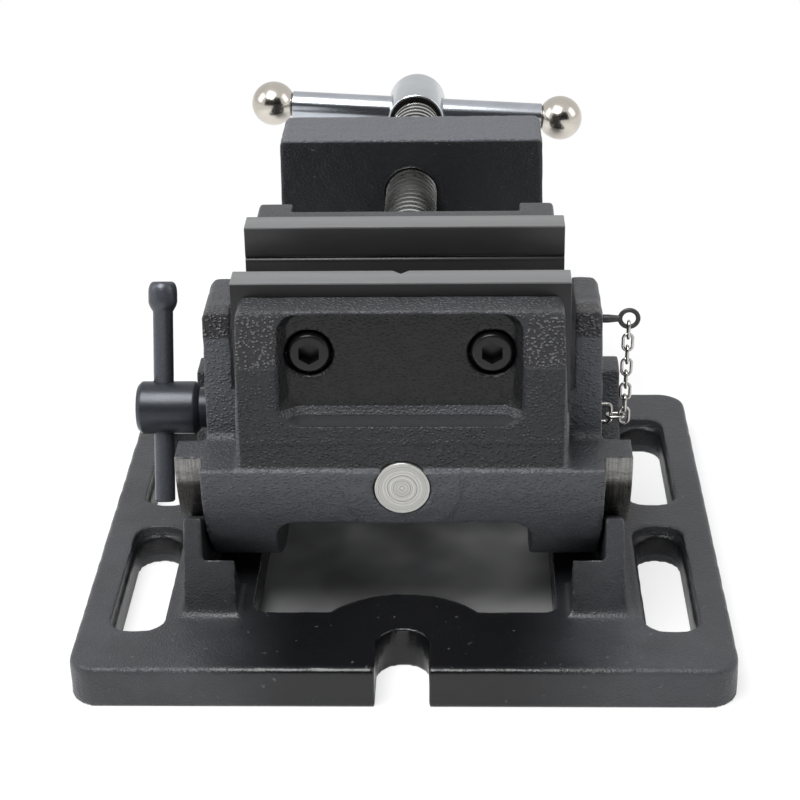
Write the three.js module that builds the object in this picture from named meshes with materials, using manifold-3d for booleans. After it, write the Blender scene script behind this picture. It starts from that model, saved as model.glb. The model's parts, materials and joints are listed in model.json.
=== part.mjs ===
// A tilting bench vise for a drilling machine's table.
// A flat cast base carries two cradle posts. The vise body lies in them on two turned arc rails, and tilts
// about a cross axis that runs along X. The jaws open along Y: the fixed jaw is at the front (-Y), and the
// screw's handle is at the back (+Y). Lengths are in millimetres, +Z is up, and Y is measured from the tilt
// axis until the last lines, which put the origin under the middle of the whole vise.

import * as THREE from 'three';
import { mergeVertices } from 'three/addons/utils/BufferGeometryUtils.js';
import Module from 'manifold-3d';

const wasm = await Module();
wasm.setup();

// Clearances that every pair of neighbours shares, how far a cut runs past a face, and how near two points
// may lie before they are one
const seatGap = 0.2;
const runGap = 0.3;
const overrun = 3;
const weld = 0.0001;

// How finely round forms are faceted: steps in half a turn, but wires have theirs in a whole turn
const steps = { drum: 24, hole: 9, rod: 14, corner: 3, ball: 8, wire: 6, linkEnd: 5 };

// The base: a plate with a window, and a notch for a table bolt at each end
const base = { width: 198, length: 186.6, thick: 13, corner: 9, edge: 1.6, axisToFront: 80 };
const windowHole = { toPost: 4.9, wall: 32.5, corner: 4 };
const notch = { width: 16, toCentre: 14.6, bossRadius: 29 };

// Four slots for table bolts lie in the band between the posts and the base's long edges
const slot = {
  middleShare: 0.384, wideShare: 0.505, ledgeWideShare: 0.574, toEnd: 22.5, apart: 16.6, ledgeSpare: 1,
  ledgeDeep: 3.5, roundShare: 0.98, ledgeRoundShare: 0.8,
};

// The tilt axis, which the heights of the body are measured from, and the cradle posts round it
const axisHeight = 59.5;
const post = {
  toPlate: 1.2, seatWide: 5.5, outerDraft: 0.7, belowAxis: 15.3, insideDrum: 0.8, spread: 4.5, footFillet: 3,
  beyondDrum: 9.2, seatHalfAngle: THREE.MathUtils.degToRad(50), seatToCheek: 0.4,
};

// The tilting body: a half drum with its flat on top, an arch under it, and an arc rail on each end
const drum = { toBase: 0.5, draft: 0.7, flatRise: 1, cheek: 21.5, archBelowAxis: 18.5, archCorner: 7 };
const rail = { insideDrum: 9.5, thick: 12, beyondEar: 8.7 };
const ear = {
  toPlate: 1.8, thick: 8.7, draft: 0.6, beforeGrip: 1.1, length: 28, above: 42.5, edge: 1.4, foot: 2.5,
  backRound: 4,
};

// The jaws, and the plates bolted on them
const plate = { width: 100, height: 38.7, thick: 9.6, groove: 2.4, grooveDrop: 12.5 };
const jawGap = 35.6;
const fixedJaw = {
  behindDrum: 1, thick: 13, inset: 0.4, topBelowPlate: 4.1, draft: 2, edge: 1.5, partingShare: 0.66,
  lean: 1.3, undercut: 0.5,
};
const pocket = {
  halfShare: 0.736, belowBed: 2.1, toTop: 0.8, deep: 5, corner: 6, slope: 4, footSlope: 4.8,
};
const movingJaw = {
  inset: 2, topBelowPlate: 1, shoulderThick: 14, webThick: 7, sideWall: 11.7, footThick: 21, footHigh: 10,
  slopeShares: [0.354, 0.726], bossRadius: 15, draft: 0.8,
};

// The bed that the moving jaw slides on, its keel, and the rod that guides the keel
const bed = { inset: 3.5, above: 16.9, wayThick: 12, wallThick: 9.5, beforeGrip: 4.6 };
const keel = { half: 13.5, ahead: 9, belowRod: 1.15 };
const rod = { radius: 8.45, belowAxis: 5.1, padRadius: 17.5, padRise: 0.6 };

// The block at the back of the bed that the screw is threaded through, and the feet under it
const nutBlock = { beyondBed: 0.7, draft: 1, front: 105.4, thick: 27.2, topBelowPlate: 3, edge: 1.6 };
const foot = { toBack: 18.6, length: 15 };

// The screw, its head, and the sliding handle bar with a ball on each end
const screw = { radius: 9, bossToBed: 0.9, journalStep: 3, spigotStep: 3, blunt: 1.5 };
const retainer = { radius: 2, grooveDeep: 1.6, fromFace: 9, length: 26 };
const head = { radius: 11, behindBlock: 53.4, length: 29, edge: 1.2 };
const bar = { radius: 5.2, halfLength: 56.5, endStep: 1.8, tilt: THREE.MathUtils.degToRad(3.5) };
const ball = { radius: 8.6 };

// The bolts of the jaw plates
const bolt = {
  outShare: 0.536, upShare: 0.512, radius: 4, headRadius: 6.5, headHigh: 5, hexAcross: 6, hexDeep: 3,
  intoPlate: 7,
};
const counterbore = { radius: 7.25, deep: 4.8 };

// The lever that locks the tilt
const lock = {
  hubRadius: 8.4, neck: 4.7, hubLength: 19.8, hubEdge: 1.4, neckRadius: 6.4, shankRadius: 3.8, shankIn: 19.5,
  barRadius: 3.2, barFromEnd: 8.2, barUp: 36, barDown: 30, knobRadius: 4.6, knobHigh: 9.4, knobCrown: 4,
  bulgeShares: [0, 0.2, 0.45, 0.7, 0.9, 1], crownWideShare: 0.62, lean: THREE.MathUtils.degToRad(-22),
};

// The locating pin, its chain and the staple that ties the chain to the body
const pin = {
  radius: 1.3, fromEarFront: 14.5, above: 34.1, inEar: 8, eyeOut: 8.3, eyeRadius: 3.5, eyeHole: 2,
  eyeThick: 1.3, flare: 3,
};
const chain = { links: 8, wire: 0.5, length: 6.4, width: 3.9, slack: 0.25, fromEye: 0.45, endSlack: 1.65 };
const staple = { wire: 0.6, reach: 3.6, high: 6, aboveLink: 0.85, deep: 4 };

// Places that follow from the sizes above: across the vise
const plateHalf = plate.width / 2;
const earInner = plateHalf + ear.toPlate;
const earOuter = earInner + ear.thick;
const postInner = plateHalf + post.toPlate;
const postStep = earOuter + post.seatToCheek;
const postOuter = postStep + post.seatWide;
const postFoot = postOuter + post.outerDraft + post.footFillet;
const windowHalf = postInner - windowHole.toPost;
const archHalf = earOuter - drum.cheek;
const railEnd = earOuter + rail.beyondEar;
const bedHalf = plateHalf - bed.inset;
const bedInside = bedHalf - bed.wallThick;
const jawFootHalf = plateHalf - fixedJaw.inset;
const movingHalf = plateHalf - movingJaw.inset;
const pocketHalf = plateHalf * pocket.halfShare;
const boltOut = plateHalf * bolt.outShare;
const lockNeckEnd = earOuter + lock.neck;
const hubOuter = lockNeckEnd + lock.hubLength;
const shankTip = earOuter - lock.shankIn;
const lockBarX = -(hubOuter - lock.barFromEnd);
const eyeX = earOuter + pin.eyeOut;

// Radii about the tilt axis
const drumRadius = axisHeight - base.thick - drum.toBase;
const railOuter = drumRadius - rail.insideDrum;
const railInner = railOuter - rail.thick;
const postTopHalf = drumRadius - post.insideDrum;
const postFootHalf = postTopHalf + post.spread;

// Heights
const flatTop = axisHeight + drum.flatRise;
const archTop = axisHeight - drum.archBelowAxis;
const postTop = axisHeight - post.belowAxis;
const earTop = axisHeight + ear.above;
const bedTop = axisHeight + bed.above;
const plateLow = bedTop + seatGap;
const plateTop = plateLow + plate.height;
const fixedTop = plateTop - fixedJaw.topBelowPlate;
const movingTop = plateTop - movingJaw.topBelowPlate;
const blockTop = plateTop - nutBlock.topBelowPlate;
const boltHeight = plateLow + plate.height * bolt.upShare;
const rodHeight = axisHeight - rod.belowAxis;
const keelLow = rodHeight - rod.radius - keel.belowRod;
const bedLow = keelLow - runGap;
const screwHeight = bedTop + movingJaw.bossRadius + screw.bossToBed;
const pinHeight = axisHeight + pin.above;

// Places along the vise
const baseFront = -base.axisToFront;
const baseBack = baseFront + base.length;
const baseMiddle = (baseFront + baseBack) / 2;
const jawFront = fixedJaw.behindDrum - drumRadius;
const inPocket = jawFront + pocket.deep;
const fixedPlateBack = jawFront + fixedJaw.thick;
const gripFace = fixedPlateBack + plate.thick;
const bedFront = gripFace - bed.beforeGrip;
const earFront = gripFace - ear.beforeGrip;
const pinAlong = earFront + pin.fromEarFront;
const movingFace = gripFace + jawGap;
const movingCastFront = movingFace + plate.thick + seatGap;
const movingCastBack = movingCastFront + movingJaw.footThick;
const behindWeb = movingCastFront + movingJaw.webThick;
const blockBack = nutBlock.front + nutBlock.thick;
const headFront = blockBack + head.behindBlock;
const headBack = headFront + head.length;
const barAlong = (headFront + headBack) / 2;

// Radii and depths of the screw and the bar
const journalRadius = screw.radius - screw.journalStep;
const spigotRadius = screw.radius - screw.spigotStep;
const spigotDeep = head.length / 2 - bar.radius - runGap * 3;
const retainerX = journalRadius - retainer.grooveDeep + retainer.radius + runGap;
const barEndRadius = bar.radius - bar.endStep;

// The links hang from the eye, each turned a quarter from the last, and the end link lies on the staple
const linkPitch = chain.length - 4 * chain.wire - chain.slack;
const linkInside = chain.length / 2 - 2 * chain.wire;
const firstDrop = pin.eyeHole - chain.fromEye + linkInside;
const lastDrop = firstDrop + (chain.links - 1) * linkPitch;
const stapleOut = earOuter + staple.reach;
const endLinkX = stapleOut - staple.wire - chain.slack + linkInside;
const chainLean = Math.atan((eyeX - endLinkX - chain.length / 2 + chain.wire) / lastDrop);
const chainEnd = pinHeight - (lastDrop + linkInside) * Math.cos(chainLean);
const endLinkHeight = chainEnd + chain.wire + chain.endSlack;
const stapleMiddle = endLinkHeight + staple.aboveLink;

// Solids: closed meshes joined and cut by the boolean library
function solid(geometry) {
  const bare = new THREE.BufferGeometry();
  bare.setAttribute('position', geometry.getAttribute('position').clone());
  if (geometry.index) bare.setIndex(geometry.index.clone());
  const merged = mergeVertices(bare, weld);
  const kept = [];
  const index = merged.index.array;
  for (let i = 0; i < index.length; i += 3) {
    const [a, b, c] = [index[i], index[i + 1], index[i + 2]];
    if (a !== b && b !== c && c !== a) kept.push(a, b, c);
  }
  const make = (triVerts) => new wasm.Manifold(new wasm.Mesh({
    numProp: 3, vertProperties: merged.attributes.position.array, triVerts: new Uint32Array(triVerts),
  }));
  const made = make(kept);
  if (made.volume() > 0) return made;
  for (let i = 0; i < kept.length; i += 3) [kept[i + 1], kept[i + 2]] = [kept[i + 2], kept[i + 1]];
  return make(kept);
}

function block([x0, x1], [y0, y1], [z0, z1]) {
  const geometry = new THREE.BoxGeometry(x1 - x0, y1 - y0, z1 - z0);
  return solid(geometry.translate((x0 + x1) / 2, (y0 + y1) / 2, (z0 + z1) / 2));
}

// An outline pushed along an axis. Along X it is drawn in (Y, Z), along Y in (X, Z), and along Z in (X, Y).
const axisFrames = {
  x: [[0, 1, 0], [0, 0, 1], [1, 0, 0]],
  y: [[1, 0, 0], [0, 0, 1], [0, -1, 0]],
  z: [[1, 0, 0], [0, 1, 0], [0, 0, 1]],
};
function framed(geometry, axis) {
  const [u, v, w] = axisFrames[axis].map((vector) => new THREE.Vector3(...vector));
  return geometry.applyMatrix4(new THREE.Matrix4().makeBasis(u, v, w));
}
function pushed(outline, axis, from, to, halfSteps = steps.corner) {
  const geometry = new THREE.ExtrudeGeometry(outline, {
    depth: to - from, bevelEnabled: false, curveSegments: Math.ceil(halfSteps / 2),
  });
  geometry.translate(0, 0, axis === 'y' ? -to : from);
  return solid(framed(geometry, axis));
}

function roundBar(radius, axis, from, to, [u, v], halfSteps = steps.rod) {
  const outline = new THREE.Shape().absarc(u, v, radius, 0, 2 * Math.PI);
  return pushed(outline, axis, from, to, halfSteps * 2);
}

// A profile of [radius, distance along the axis] points turned about a line through (u, v)
function turned(profile, axis, [u, v], halfSteps = steps.rod) {
  const points = profile.map(([radius, along]) => new THREE.Vector2(radius, along));
  const geometry = new THREE.LatheGeometry(points, halfSteps * 2);
  geometry.rotateX(Math.PI / 2);
  if (axis === 'y') geometry.scale(1, 1, -1);
  geometry.translate(u, v, 0);
  return solid(framed(geometry, axis));
}

function roundedBox(x0, x1, y0, y1, radius) {
  const shape = new THREE.Shape();
  shape.moveTo(x0 + radius, y0);
  shape.lineTo(x1 - radius, y0);
  shape.absarc(x1 - radius, y0 + radius, radius, -Math.PI / 2, 0);
  shape.lineTo(x1, y1 - radius);
  shape.absarc(x1 - radius, y1 - radius, radius, 0, Math.PI / 2);
  shape.lineTo(x0 + radius, y1);
  shape.absarc(x0 + radius, y1 - radius, radius, Math.PI / 2, Math.PI);
  shape.lineTo(x0, y0 + radius);
  shape.absarc(x0 + radius, y0 + radius, radius, Math.PI, 1.5 * Math.PI);
  return shape;
}

// A closed skin between two outlines of equal point counts at two distances along an axis
function lofted(outlineA, outlineB, axis, alongA, alongB) {
  const sign = axis === 'y' ? -1 : 1;
  const rings = [[outlineA, alongA * sign], [outlineB, alongB * sign]].map(([outline, along]) => {
    const points = outline.getPoints(steps.corner);
    if (points[0].distanceTo(points.at(-1)) < weld) points.pop();
    return points.map((point) => [point.x, point.y, along]);
  });
  const count = rings[0].length;
  const faces = THREE.ShapeUtils.triangulateShape(rings[0].map(([x, y]) => new THREE.Vector2(x, y)), []);
  const index = faces.flatMap(([a, b, c]) => [c, b, a, a + count, b + count, c + count]);
  for (let i = 0; i < count; i += 1) {
    const next = (i + 1) % count;
    index.push(i, next, next + count, i, next + count, i + count);
  }
  const geometry = new THREE.BufferGeometry();
  geometry.setAttribute('position', new THREE.Float32BufferAttribute(rings.flat(2), 3));
  geometry.setIndex(index);
  return solid(framed(geometry, axis));
}

function polygon(points) {
  return new THREE.Shape(points.map(([x, y]) => new THREE.Vector2(x, y)));
}

function joined(...solids) {
  return solids.flat().reduce((whole, next) => whole.add(next));
}

const bothSides = (make) => [-1, 1].map(make);
const span = (side, a, b) => (side > 0 ? [a, b] : [-b, -a]);
const sorted = (a, b) => [Math.min(a, b), Math.max(a, b)];

// The base casting
function basePlate() {
  const half = base.width / 2;
  const outline = roundedBox(-half, half, baseFront, baseBack, base.corner);
  const geometry = new THREE.ExtrudeGeometry(outline, {
    depth: base.thick - base.edge, bevelThickness: base.edge, bevelSize: base.edge,
    bevelOffset: -base.edge, bevelSegments: 2, curveSegments: steps.corner,
  });
  const below = block([-base.width, base.width], [-base.length, base.length], [-base.thick, 0]);
  const plateSolid = solid(geometry).subtract(below);

  const opening = roundedBox(-windowHalf, windowHalf, baseFront + windowHole.wall,
    baseBack - windowHole.wall, windowHole.corner);
  const through = [-overrun, base.thick + overrun];
  let cut = plateSolid.subtract(pushed(opening, 'z', ...through));

  const ends = bothSides((end) => baseMiddle + end * (base.length / 2 - notch.toCentre));
  for (const centre of ends) {
    const boss = roundBar(notch.bossRadius, 'z', 0, base.thick, [0, centre], steps.drum);
    cut = cut.add(boss.intersect(plateSolid));
  }
  bothSides((end) => {
    const centre = ends[end > 0 ? 1 : 0];
    const mouth = end > 0 ? [centre, baseBack + overrun] : [baseFront - overrun, centre];
    cut = cut.subtract(roundBar(notch.width / 2, 'z', ...through, [0, centre], steps.hole));
    cut = cut.subtract(block([-notch.width / 2, notch.width / 2], mouth, through));
  });
  for (const tool of slotTools(through)) cut = cut.subtract(tool);
  return cut;
}

// Each bolt slot is a long hole with a shallow, wider ledge round its mouth
function slotTools([low, high]) {
  const band = base.width / 2 - postFoot;
  const halfLong = (base.length / 2 - slot.toEnd - slot.apart / 2) / 2;
  const ledgeLong = halfLong + slot.ledgeSpare;
  const halfWide = band * slot.wideShare / 2;
  const ledgeHalf = band * slot.ledgeWideShare / 2;
  return bothSides((side) => bothSides((end) => {
    const x = side * (postFoot + band * slot.middleShare);
    const y = baseMiddle + end * (slot.apart / 2 + halfLong);
    const hole = roundedBox(x - halfWide, x + halfWide, y - halfLong, y + halfLong,
      halfWide * slot.roundShare);
    const ledge = roundedBox(x - ledgeHalf, x + ledgeHalf, y - ledgeLong, y + ledgeLong,
      ledgeHalf * slot.ledgeRoundShare);
    return [pushed(hole, 'z', low, high), pushed(ledge, 'z', base.thick - slot.ledgeDeep, high)];
  })).flat(2);
}

// A post leans in towards its top and flares out at its foot. Its inner part is relieved for the ears and
// the jaws to swing past, and its outer part holds the concave seat of the arc rail.
function cradlePost(side) {
  const r = post.footFillet;
  const flareZ = base.thick + r;
  const sunk = base.thick - r;
  const sideView = new THREE.Shape();
  sideView.moveTo(-postFootHalf - r, sunk);
  sideView.lineTo(-postFootHalf - r, base.thick);
  sideView.absarc(-postFootHalf - r, flareZ, r, -Math.PI / 2, 0);
  sideView.lineTo(-postTopHalf, postTop);
  sideView.lineTo(postTopHalf, postTop);
  sideView.lineTo(postFootHalf, flareZ);
  sideView.absarc(postFootHalf + r, flareZ, r, Math.PI, 1.5 * Math.PI);
  sideView.lineTo(postFootHalf + r, sunk);
  const endView = new THREE.Shape();
  const foot = postOuter + post.outerDraft;
  endView.moveTo(postInner - r, sunk);
  endView.lineTo(postInner - r, base.thick);
  endView.absarc(postInner - r, flareZ, r, -Math.PI / 2, 0);
  endView.lineTo(postInner, postTop);
  endView.lineTo(postOuter, postTop);
  endView.lineTo(foot, flareZ);
  endView.absarc(foot + r, flareZ, r, Math.PI, 1.5 * Math.PI);
  endView.lineTo(foot + r, sunk);
  const reach = foot + r + overrun;
  const long = postFootHalf + r + overrun;
  let whole = pushed(sideView, 'x', 0, reach).intersect(pushed(endView, 'y', -long, long));

  const relief = roundBar(drumRadius + post.beyondDrum, 'x', 0, postStep, [0, axisHeight], steps.drum);
  whole = whole.subtract(relief.subtract(block([-reach, reach], [-long, long], [0, base.thick])));

  const seat = railOuter + runGap;
  const seatHalf = seat * Math.sin(post.seatHalfAngle);
  const seatEnd = axisHeight - seat * Math.cos(post.seatHalfAngle);
  const over = new THREE.Shape();
  over.moveTo(-postTopHalf, postTop);
  over.lineTo(-seatHalf, seatEnd);
  const down = -Math.PI / 2;
  over.absarc(0, axisHeight, seat, down - post.seatHalfAngle, down + post.seatHalfAngle);
  over.lineTo(postTopHalf, postTop);
  over.lineTo(postTopHalf, postTop + overrun);
  over.lineTo(-postTopHalf, postTop + overrun);
  whole = whole.subtract(pushed(over, 'x', postStep, reach, steps.drum));
  return side > 0 ? whole : whole.mirror([1, 0, 0]);
}

function makeBase() {
  return joined(basePlate(), bothSides(cradlePost));
}

// The tilting body
function drumSolid() {
  const chord = Math.asin(drum.flatRise / drumRadius);
  const disc = new THREE.Shape();
  disc.absarc(0, axisHeight, drumRadius, Math.PI - chord, 2 * Math.PI + chord);
  const low = axisHeight - drumRadius - overrun;
  const lowHalf = earOuter - drum.draft;
  const endView = polygon([[-earOuter, flatTop], [-lowHalf, low], [lowHalf, low], [earOuter, flatTop]]);
  const round = pushed(disc, 'x', -earOuter, earOuter, steps.drum);
  return round.intersect(pushed(endView, 'y', -drumRadius - overrun, drumRadius + overrun));
}

function arcRail(side) {
  const chord = (radius) => Math.asin(drum.flatRise / radius);
  const ring = new THREE.Shape();
  const [outer, inner] = [chord(railOuter), chord(railInner)];
  ring.absarc(0, axisHeight, railOuter, Math.PI - outer, 2 * Math.PI + outer);
  ring.absarc(0, axisHeight, railInner, inner, Math.PI - inner, true);
  return pushed(ring, 'x', ...span(side, earOuter - drum.draft - overrun, railEnd), steps.drum);
}

function earSolid(side) {
  const back = earFront + ear.length;
  const topOuter = earOuter - ear.draft;
  const endView = polygon([
    [earInner, flatTop - overrun], [earOuter, flatTop - overrun], [earOuter, flatTop],
    [topOuter, earTop - ear.edge], [topOuter - ear.edge, earTop], [earInner, earTop],
  ]);
  const plan = new THREE.Shape();
  plan.moveTo(0, earFront);
  plan.lineTo(earOuter, earFront);
  plan.lineTo(earOuter, back - ear.backRound);
  plan.absarc(earOuter - ear.backRound, back - ear.backRound, ear.backRound, 0, Math.PI / 2);
  plan.lineTo(0, back);
  const upright = pushed(endView, 'y', earFront, back).intersect(
    pushed(plan, 'z', flatTop - overrun, earTop + overrun));
  const r = ear.foot;
  const fillet = new THREE.Shape();
  fillet.moveTo(earFront - r, flatTop);
  fillet.absarc(earFront - r, flatTop + r, r, -Math.PI / 2, 0);
  fillet.lineTo(earFront + r, flatTop + r);
  fillet.lineTo(earFront + r, flatTop);
  const root = pushed(fillet, 'x', earInner, earOuter);
  const web = block([bedHalf - overrun, earInner], [earFront, back], [flatTop - overrun, bedTop]);
  const webbed = joined(upright, root, web);
  return side > 0 ? webbed : webbed.mirror([1, 0, 0]);
}

// A block whose sides lean in towards its top, with its long top edges taken off
function draftedBlock(half, draft, edge, [y0, y1], [z0, z1]) {
  const topHalf = half - draft;
  const endView = polygon([
    [-half, z0], [half, z0], [topHalf, z1 - edge], [topHalf - edge, z1], [-topHalf + edge, z1],
    [-topHalf, z1 - edge],
  ]);
  return pushed(endView, 'y', y0, y1);
}

// The front leans back above the line where the mould parted, and a little under below it
function fixedJawCasting() {
  const sunk = flatTop - overrun;
  const back = fixedPlateBack - seatGap;
  const parting = flatTop + (fixedTop - flatTop) * fixedJaw.partingShare;
  const sideView = polygon([
    [jawFront + fixedJaw.undercut, sunk], [jawFront, parting], [jawFront + fixedJaw.lean, fixedTop],
    [back, fixedTop], [back, sunk],
  ]);
  const wall = draftedBlock(jawFootHalf, fixedJaw.draft, fixedJaw.edge, [jawFront, back], [sunk, fixedTop])
    .intersect(pushed(sideView, 'x', -jawFootHalf, jawFootHalf));
  const ledge = block([-jawFootHalf, jawFootHalf], [inPocket, gripFace], [sunk, bedTop]);
  const low = bedTop - pocket.belowBed;
  const top = fixedTop - pocket.toTop;
  const floorHalf = pocketHalf - pocket.slope;
  const mouth = roundedBox(-pocketHalf, pocketHalf, low, top, pocket.corner);
  const floor = roundedBox(-floorHalf, floorHalf, low + pocket.footSlope, top - pocket.toTop,
    pocket.corner - pocket.toTop);
  return joined(wall, ledge).subtract(lofted(floor, mouth, 'y', inPocket, jawFront - seatGap));
}

function bedSolid() {
  const whole = block([-bedHalf, bedHalf], [bedFront, blockBack], [bedLow, bedTop]);
  const footFront = baseBack - foot.toBack;
  const feet = bothSides((side) => block(span(side, bedInside, bedHalf),
    [footFront, footFront + foot.length], [base.thick + runGap, bedLow + overrun]));
  return joined(whole, feet);
}

function bedHollows() {
  const arch = roundedBox(-archHalf, archHalf, -archTop, archTop, drum.archCorner);
  const keelWay = keel.half + runGap;
  return [
    pushed(arch, 'y', -drumRadius - overrun, drumRadius + overrun),
    block([-bedInside, bedInside], [bedFront, nutBlock.front], [archTop - overrun, bedTop - bed.wayThick]),
    block([-keelWay, keelWay], [bedFront, nutBlock.front], [archTop, bedTop + overrun]),
  ];
}

function boltPlaces(make) {
  return bothSides((side) => make(side * boltOut));
}

function makeBody() {
  const before = -drumRadius - overrun;
  const rodPad = roundBar(rod.padRadius, 'y', before, 0, [0, rodHeight], steps.drum)
    .intersect(roundBar(drumRadius + rod.padRise, 'x', -earOuter, earOuter, [0, axisHeight], steps.drum))
    .intersect(block([-earOuter, earOuter], [before, bedFront], [0, flatTop]));
  const blockSolid = draftedBlock(bedHalf + nutBlock.beyondBed, nutBlock.draft, nutBlock.edge,
    [nutBlock.front, blockBack], [bedLow, blockTop]);
  let body = joined(drumSolid(), bothSides(arcRail), bedSolid(), rodPad, blockSolid);
  for (const hollow of bedHollows()) body = body.subtract(hollow);
  body = joined(body, bothSides(earSolid), fixedJawCasting());
  const holes = [
    roundBar(rod.radius + seatGap, 'y', before, blockBack + overrun, [0, rodHeight]),
    roundBar(screw.radius + runGap, 'y', nutBlock.front - overrun, blockBack + overrun, [0, screwHeight]),
    roundBar(lock.shankRadius + runGap, 'x', -railEnd, -shankTip + overrun, [0, axisHeight], steps.hole),
    roundBar(pin.radius + runGap, 'x', earInner - overrun, railEnd, [pinAlong, pinHeight], steps.hole),
    ...boltPlaces((x) => roundBar(counterbore.radius, 'y', jawFront, inPocket + counterbore.deep,
      [x, boltHeight], steps.hole)),
    ...boltPlaces((x) => roundBar(bolt.radius + runGap, 'y', inPocket, fixedPlateBack,
      [x, boltHeight], steps.hole)),
    ...bothSides((leg) => roundBar(staple.wire + seatGap, 'x', earOuter - staple.deep - overrun, railEnd,
      [pinAlong, stapleMiddle + leg * staple.high / 2], steps.wire / 2)),
  ];
  for (const hole of holes) body = body.subtract(hole);
  return body;
}

// A jaw plate: the fixed one has an upright groove for round bars, the moving one a level groove
function jawPlate(face, direction, level) {
  const far = face - direction * plate.thick;
  const whole = block([-plateHalf, plateHalf], sorted(face, far), [plateLow, plateTop]);
  const g = plate.groove;
  const place = level ? plateTop - plate.grooveDrop : 0;
  const beyond = face + direction * overrun;
  const vee = [[face, place - g], [face - direction * g, place], [face, place + g], [beyond, place + g],
    [beyond, place - g]];
  const groove = level
    ? pushed(polygon(vee), 'x', -plate.width, plate.width)
    : pushed(polygon(vee.map(([along, across]) => [across, along])), 'z', 0, plateTop + overrun);
  const depth = sorted(far - direction * overrun, far + direction * (bolt.intoPlate + seatGap));
  const bore = bolt.radius + seatGap;
  const holes = boltPlaces((x) => roundBar(bore, 'y', ...depth, [x, boltHeight], steps.hole));
  return holes.reduce((cut, hole) => cut.subtract(hole), whole.subtract(groove));
}

function makeMovingJaw() {
  const [front, back, low] = [movingCastFront, movingCastBack, bedTop + runGap];
  const shoulder = front + movingJaw.shoulderThick;
  const [slopeLow, slopeHigh] = movingJaw.slopeShares.map((share) => low + (movingTop - low) * share);
  const sideView = polygon([[front, low], [back, low], [back, slopeLow], [shoulder, slopeHigh],
    [shoulder, movingTop], [front, movingTop]]);
  const casting = pushed(sideView, 'x', -movingHalf, movingHalf).intersect(
    draftedBlock(movingHalf, movingJaw.draft, movingJaw.draft, [front, back], [low, movingTop]));
  const recessHalf = movingHalf - movingJaw.sideWall;
  const recess = block([-recessHalf, recessHalf], [behindWeb, back + overrun],
    [low + movingJaw.footHigh, movingTop + overrun]);
  const boss = roundBar(movingJaw.bossRadius, 'y', front, back, [0, screwHeight]);
  const keelSolid = block([-keel.half, keel.half], [front - keel.ahead, back], [keelLow, bedTop - runGap]);
  const neck = block([-keel.half, keel.half], [front, back], [bedTop - overrun, low + overrun]);
  const holes = [
    roundBar(rod.radius + runGap, 'y', front - keel.ahead - overrun, back + overrun, [0, rodHeight]),
    roundBar(journalRadius + runGap, 'y', front + seatGap + screw.blunt, back + overrun, [0, screwHeight]),
    roundBar(retainer.radius + seatGap, 'z', screwHeight - retainer.length / 2,
      screwHeight + movingJaw.bossRadius + overrun, [retainerX, back - retainer.fromFace], steps.hole),
    ...boltPlaces((x) => roundBar(bolt.radius + runGap, 'y', front - overrun, back + overrun,
      [x, boltHeight], steps.hole)),
  ];
  const whole = joined(casting.subtract(recess), boss, keelSolid, neck);
  return holes.reduce((cut, hole) => cut.subtract(hole), whole);
}

// A socket head bolt along Y: the head's outer face is at headY, and the shank runs towards the plate
function capBolt(x, headY, direction, tip) {
  const under = headY + direction * bolt.headHigh;
  const whole = joined(
    roundBar(bolt.headRadius, 'y', ...sorted(headY, under), [x, boltHeight], steps.hole),
    roundBar(bolt.radius, 'y', ...sorted(headY, tip), [x, boltHeight], steps.hole));
  const hex = new THREE.CircleGeometry(bolt.hexAcross / Math.sqrt(3), 6);
  const corners = [...Array(6).keys()].map((i) => [
    x + hex.attributes.position.getX(i + 1), boltHeight + hex.attributes.position.getY(i + 1)]);
  const depth = sorted(headY - direction * overrun, headY + direction * bolt.hexDeep);
  return whole.subtract(pushed(polygon(corners), 'y', ...depth));
}

// The screw: a journal with a groove turns in the moving jaw, and a spigot carries the head
function makeScrew() {
  const tip = movingCastFront + seatGap * 2 + screw.blunt;
  const back = movingCastBack + runGap;
  const grooveMiddle = movingCastBack - retainer.fromFace;
  const grooveHalf = retainer.radius + runGap;
  const waist = journalRadius - retainer.grooveDeep;
  const spigotEnd = headFront + spigotDeep - seatGap;
  return turned([
    [0, tip], [journalRadius, tip], [journalRadius, grooveMiddle - grooveHalf],
    [waist, grooveMiddle - grooveHalf], [waist, grooveMiddle + grooveHalf],
    [journalRadius, grooveMiddle + grooveHalf], [journalRadius, back],
    [screw.radius - screw.blunt, back], [screw.radius, back + screw.blunt],
    [screw.radius, headFront - screw.blunt - seatGap], [screw.radius - screw.blunt, headFront - seatGap],
    [spigotRadius, headFront - seatGap], [spigotRadius, spigotEnd], [0, spigotEnd],
  ], 'y', [0, screwHeight]);
}

function makeScrewHead() {
  const [r, e] = [head.radius, head.edge];
  const body = turned([
    [0, headFront], [r - e, headFront], [r, headFront + e], [r, headBack - e], [r - e, headBack],
    [0, headBack],
  ], 'y', [0, screwHeight]);
  const bore = roundBar(spigotRadius + seatGap, 'y', headFront - overrun, headFront + spigotDeep,
    [0, screwHeight]);
  const cross = roundBar(bar.radius + runGap, 'x', -head.radius * 2, head.radius * 2, [0, 0]);
  return body.subtract(bore).subtract(atBar(cross));
}

function atBar(solidAlongX) {
  const place = new THREE.Matrix4().makeTranslation(0, barAlong, screwHeight)
    .multiply(new THREE.Matrix4().makeRotationY(bar.tilt));
  return solidAlongX.transform(place.elements);
}

function makeBar() {
  const shoulder = bar.halfLength - ball.radius + runGap;
  const tip = bar.halfLength - seatGap;
  const [r, end] = [bar.radius, barEndRadius];
  const profile = [
    [0, -tip], [end, -tip], [end, -shoulder], [r, -shoulder], [r, shoulder], [end, shoulder], [end, tip],
    [0, tip],
  ];
  return atBar(turned(profile, 'x', [0, 0]));
}

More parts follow.
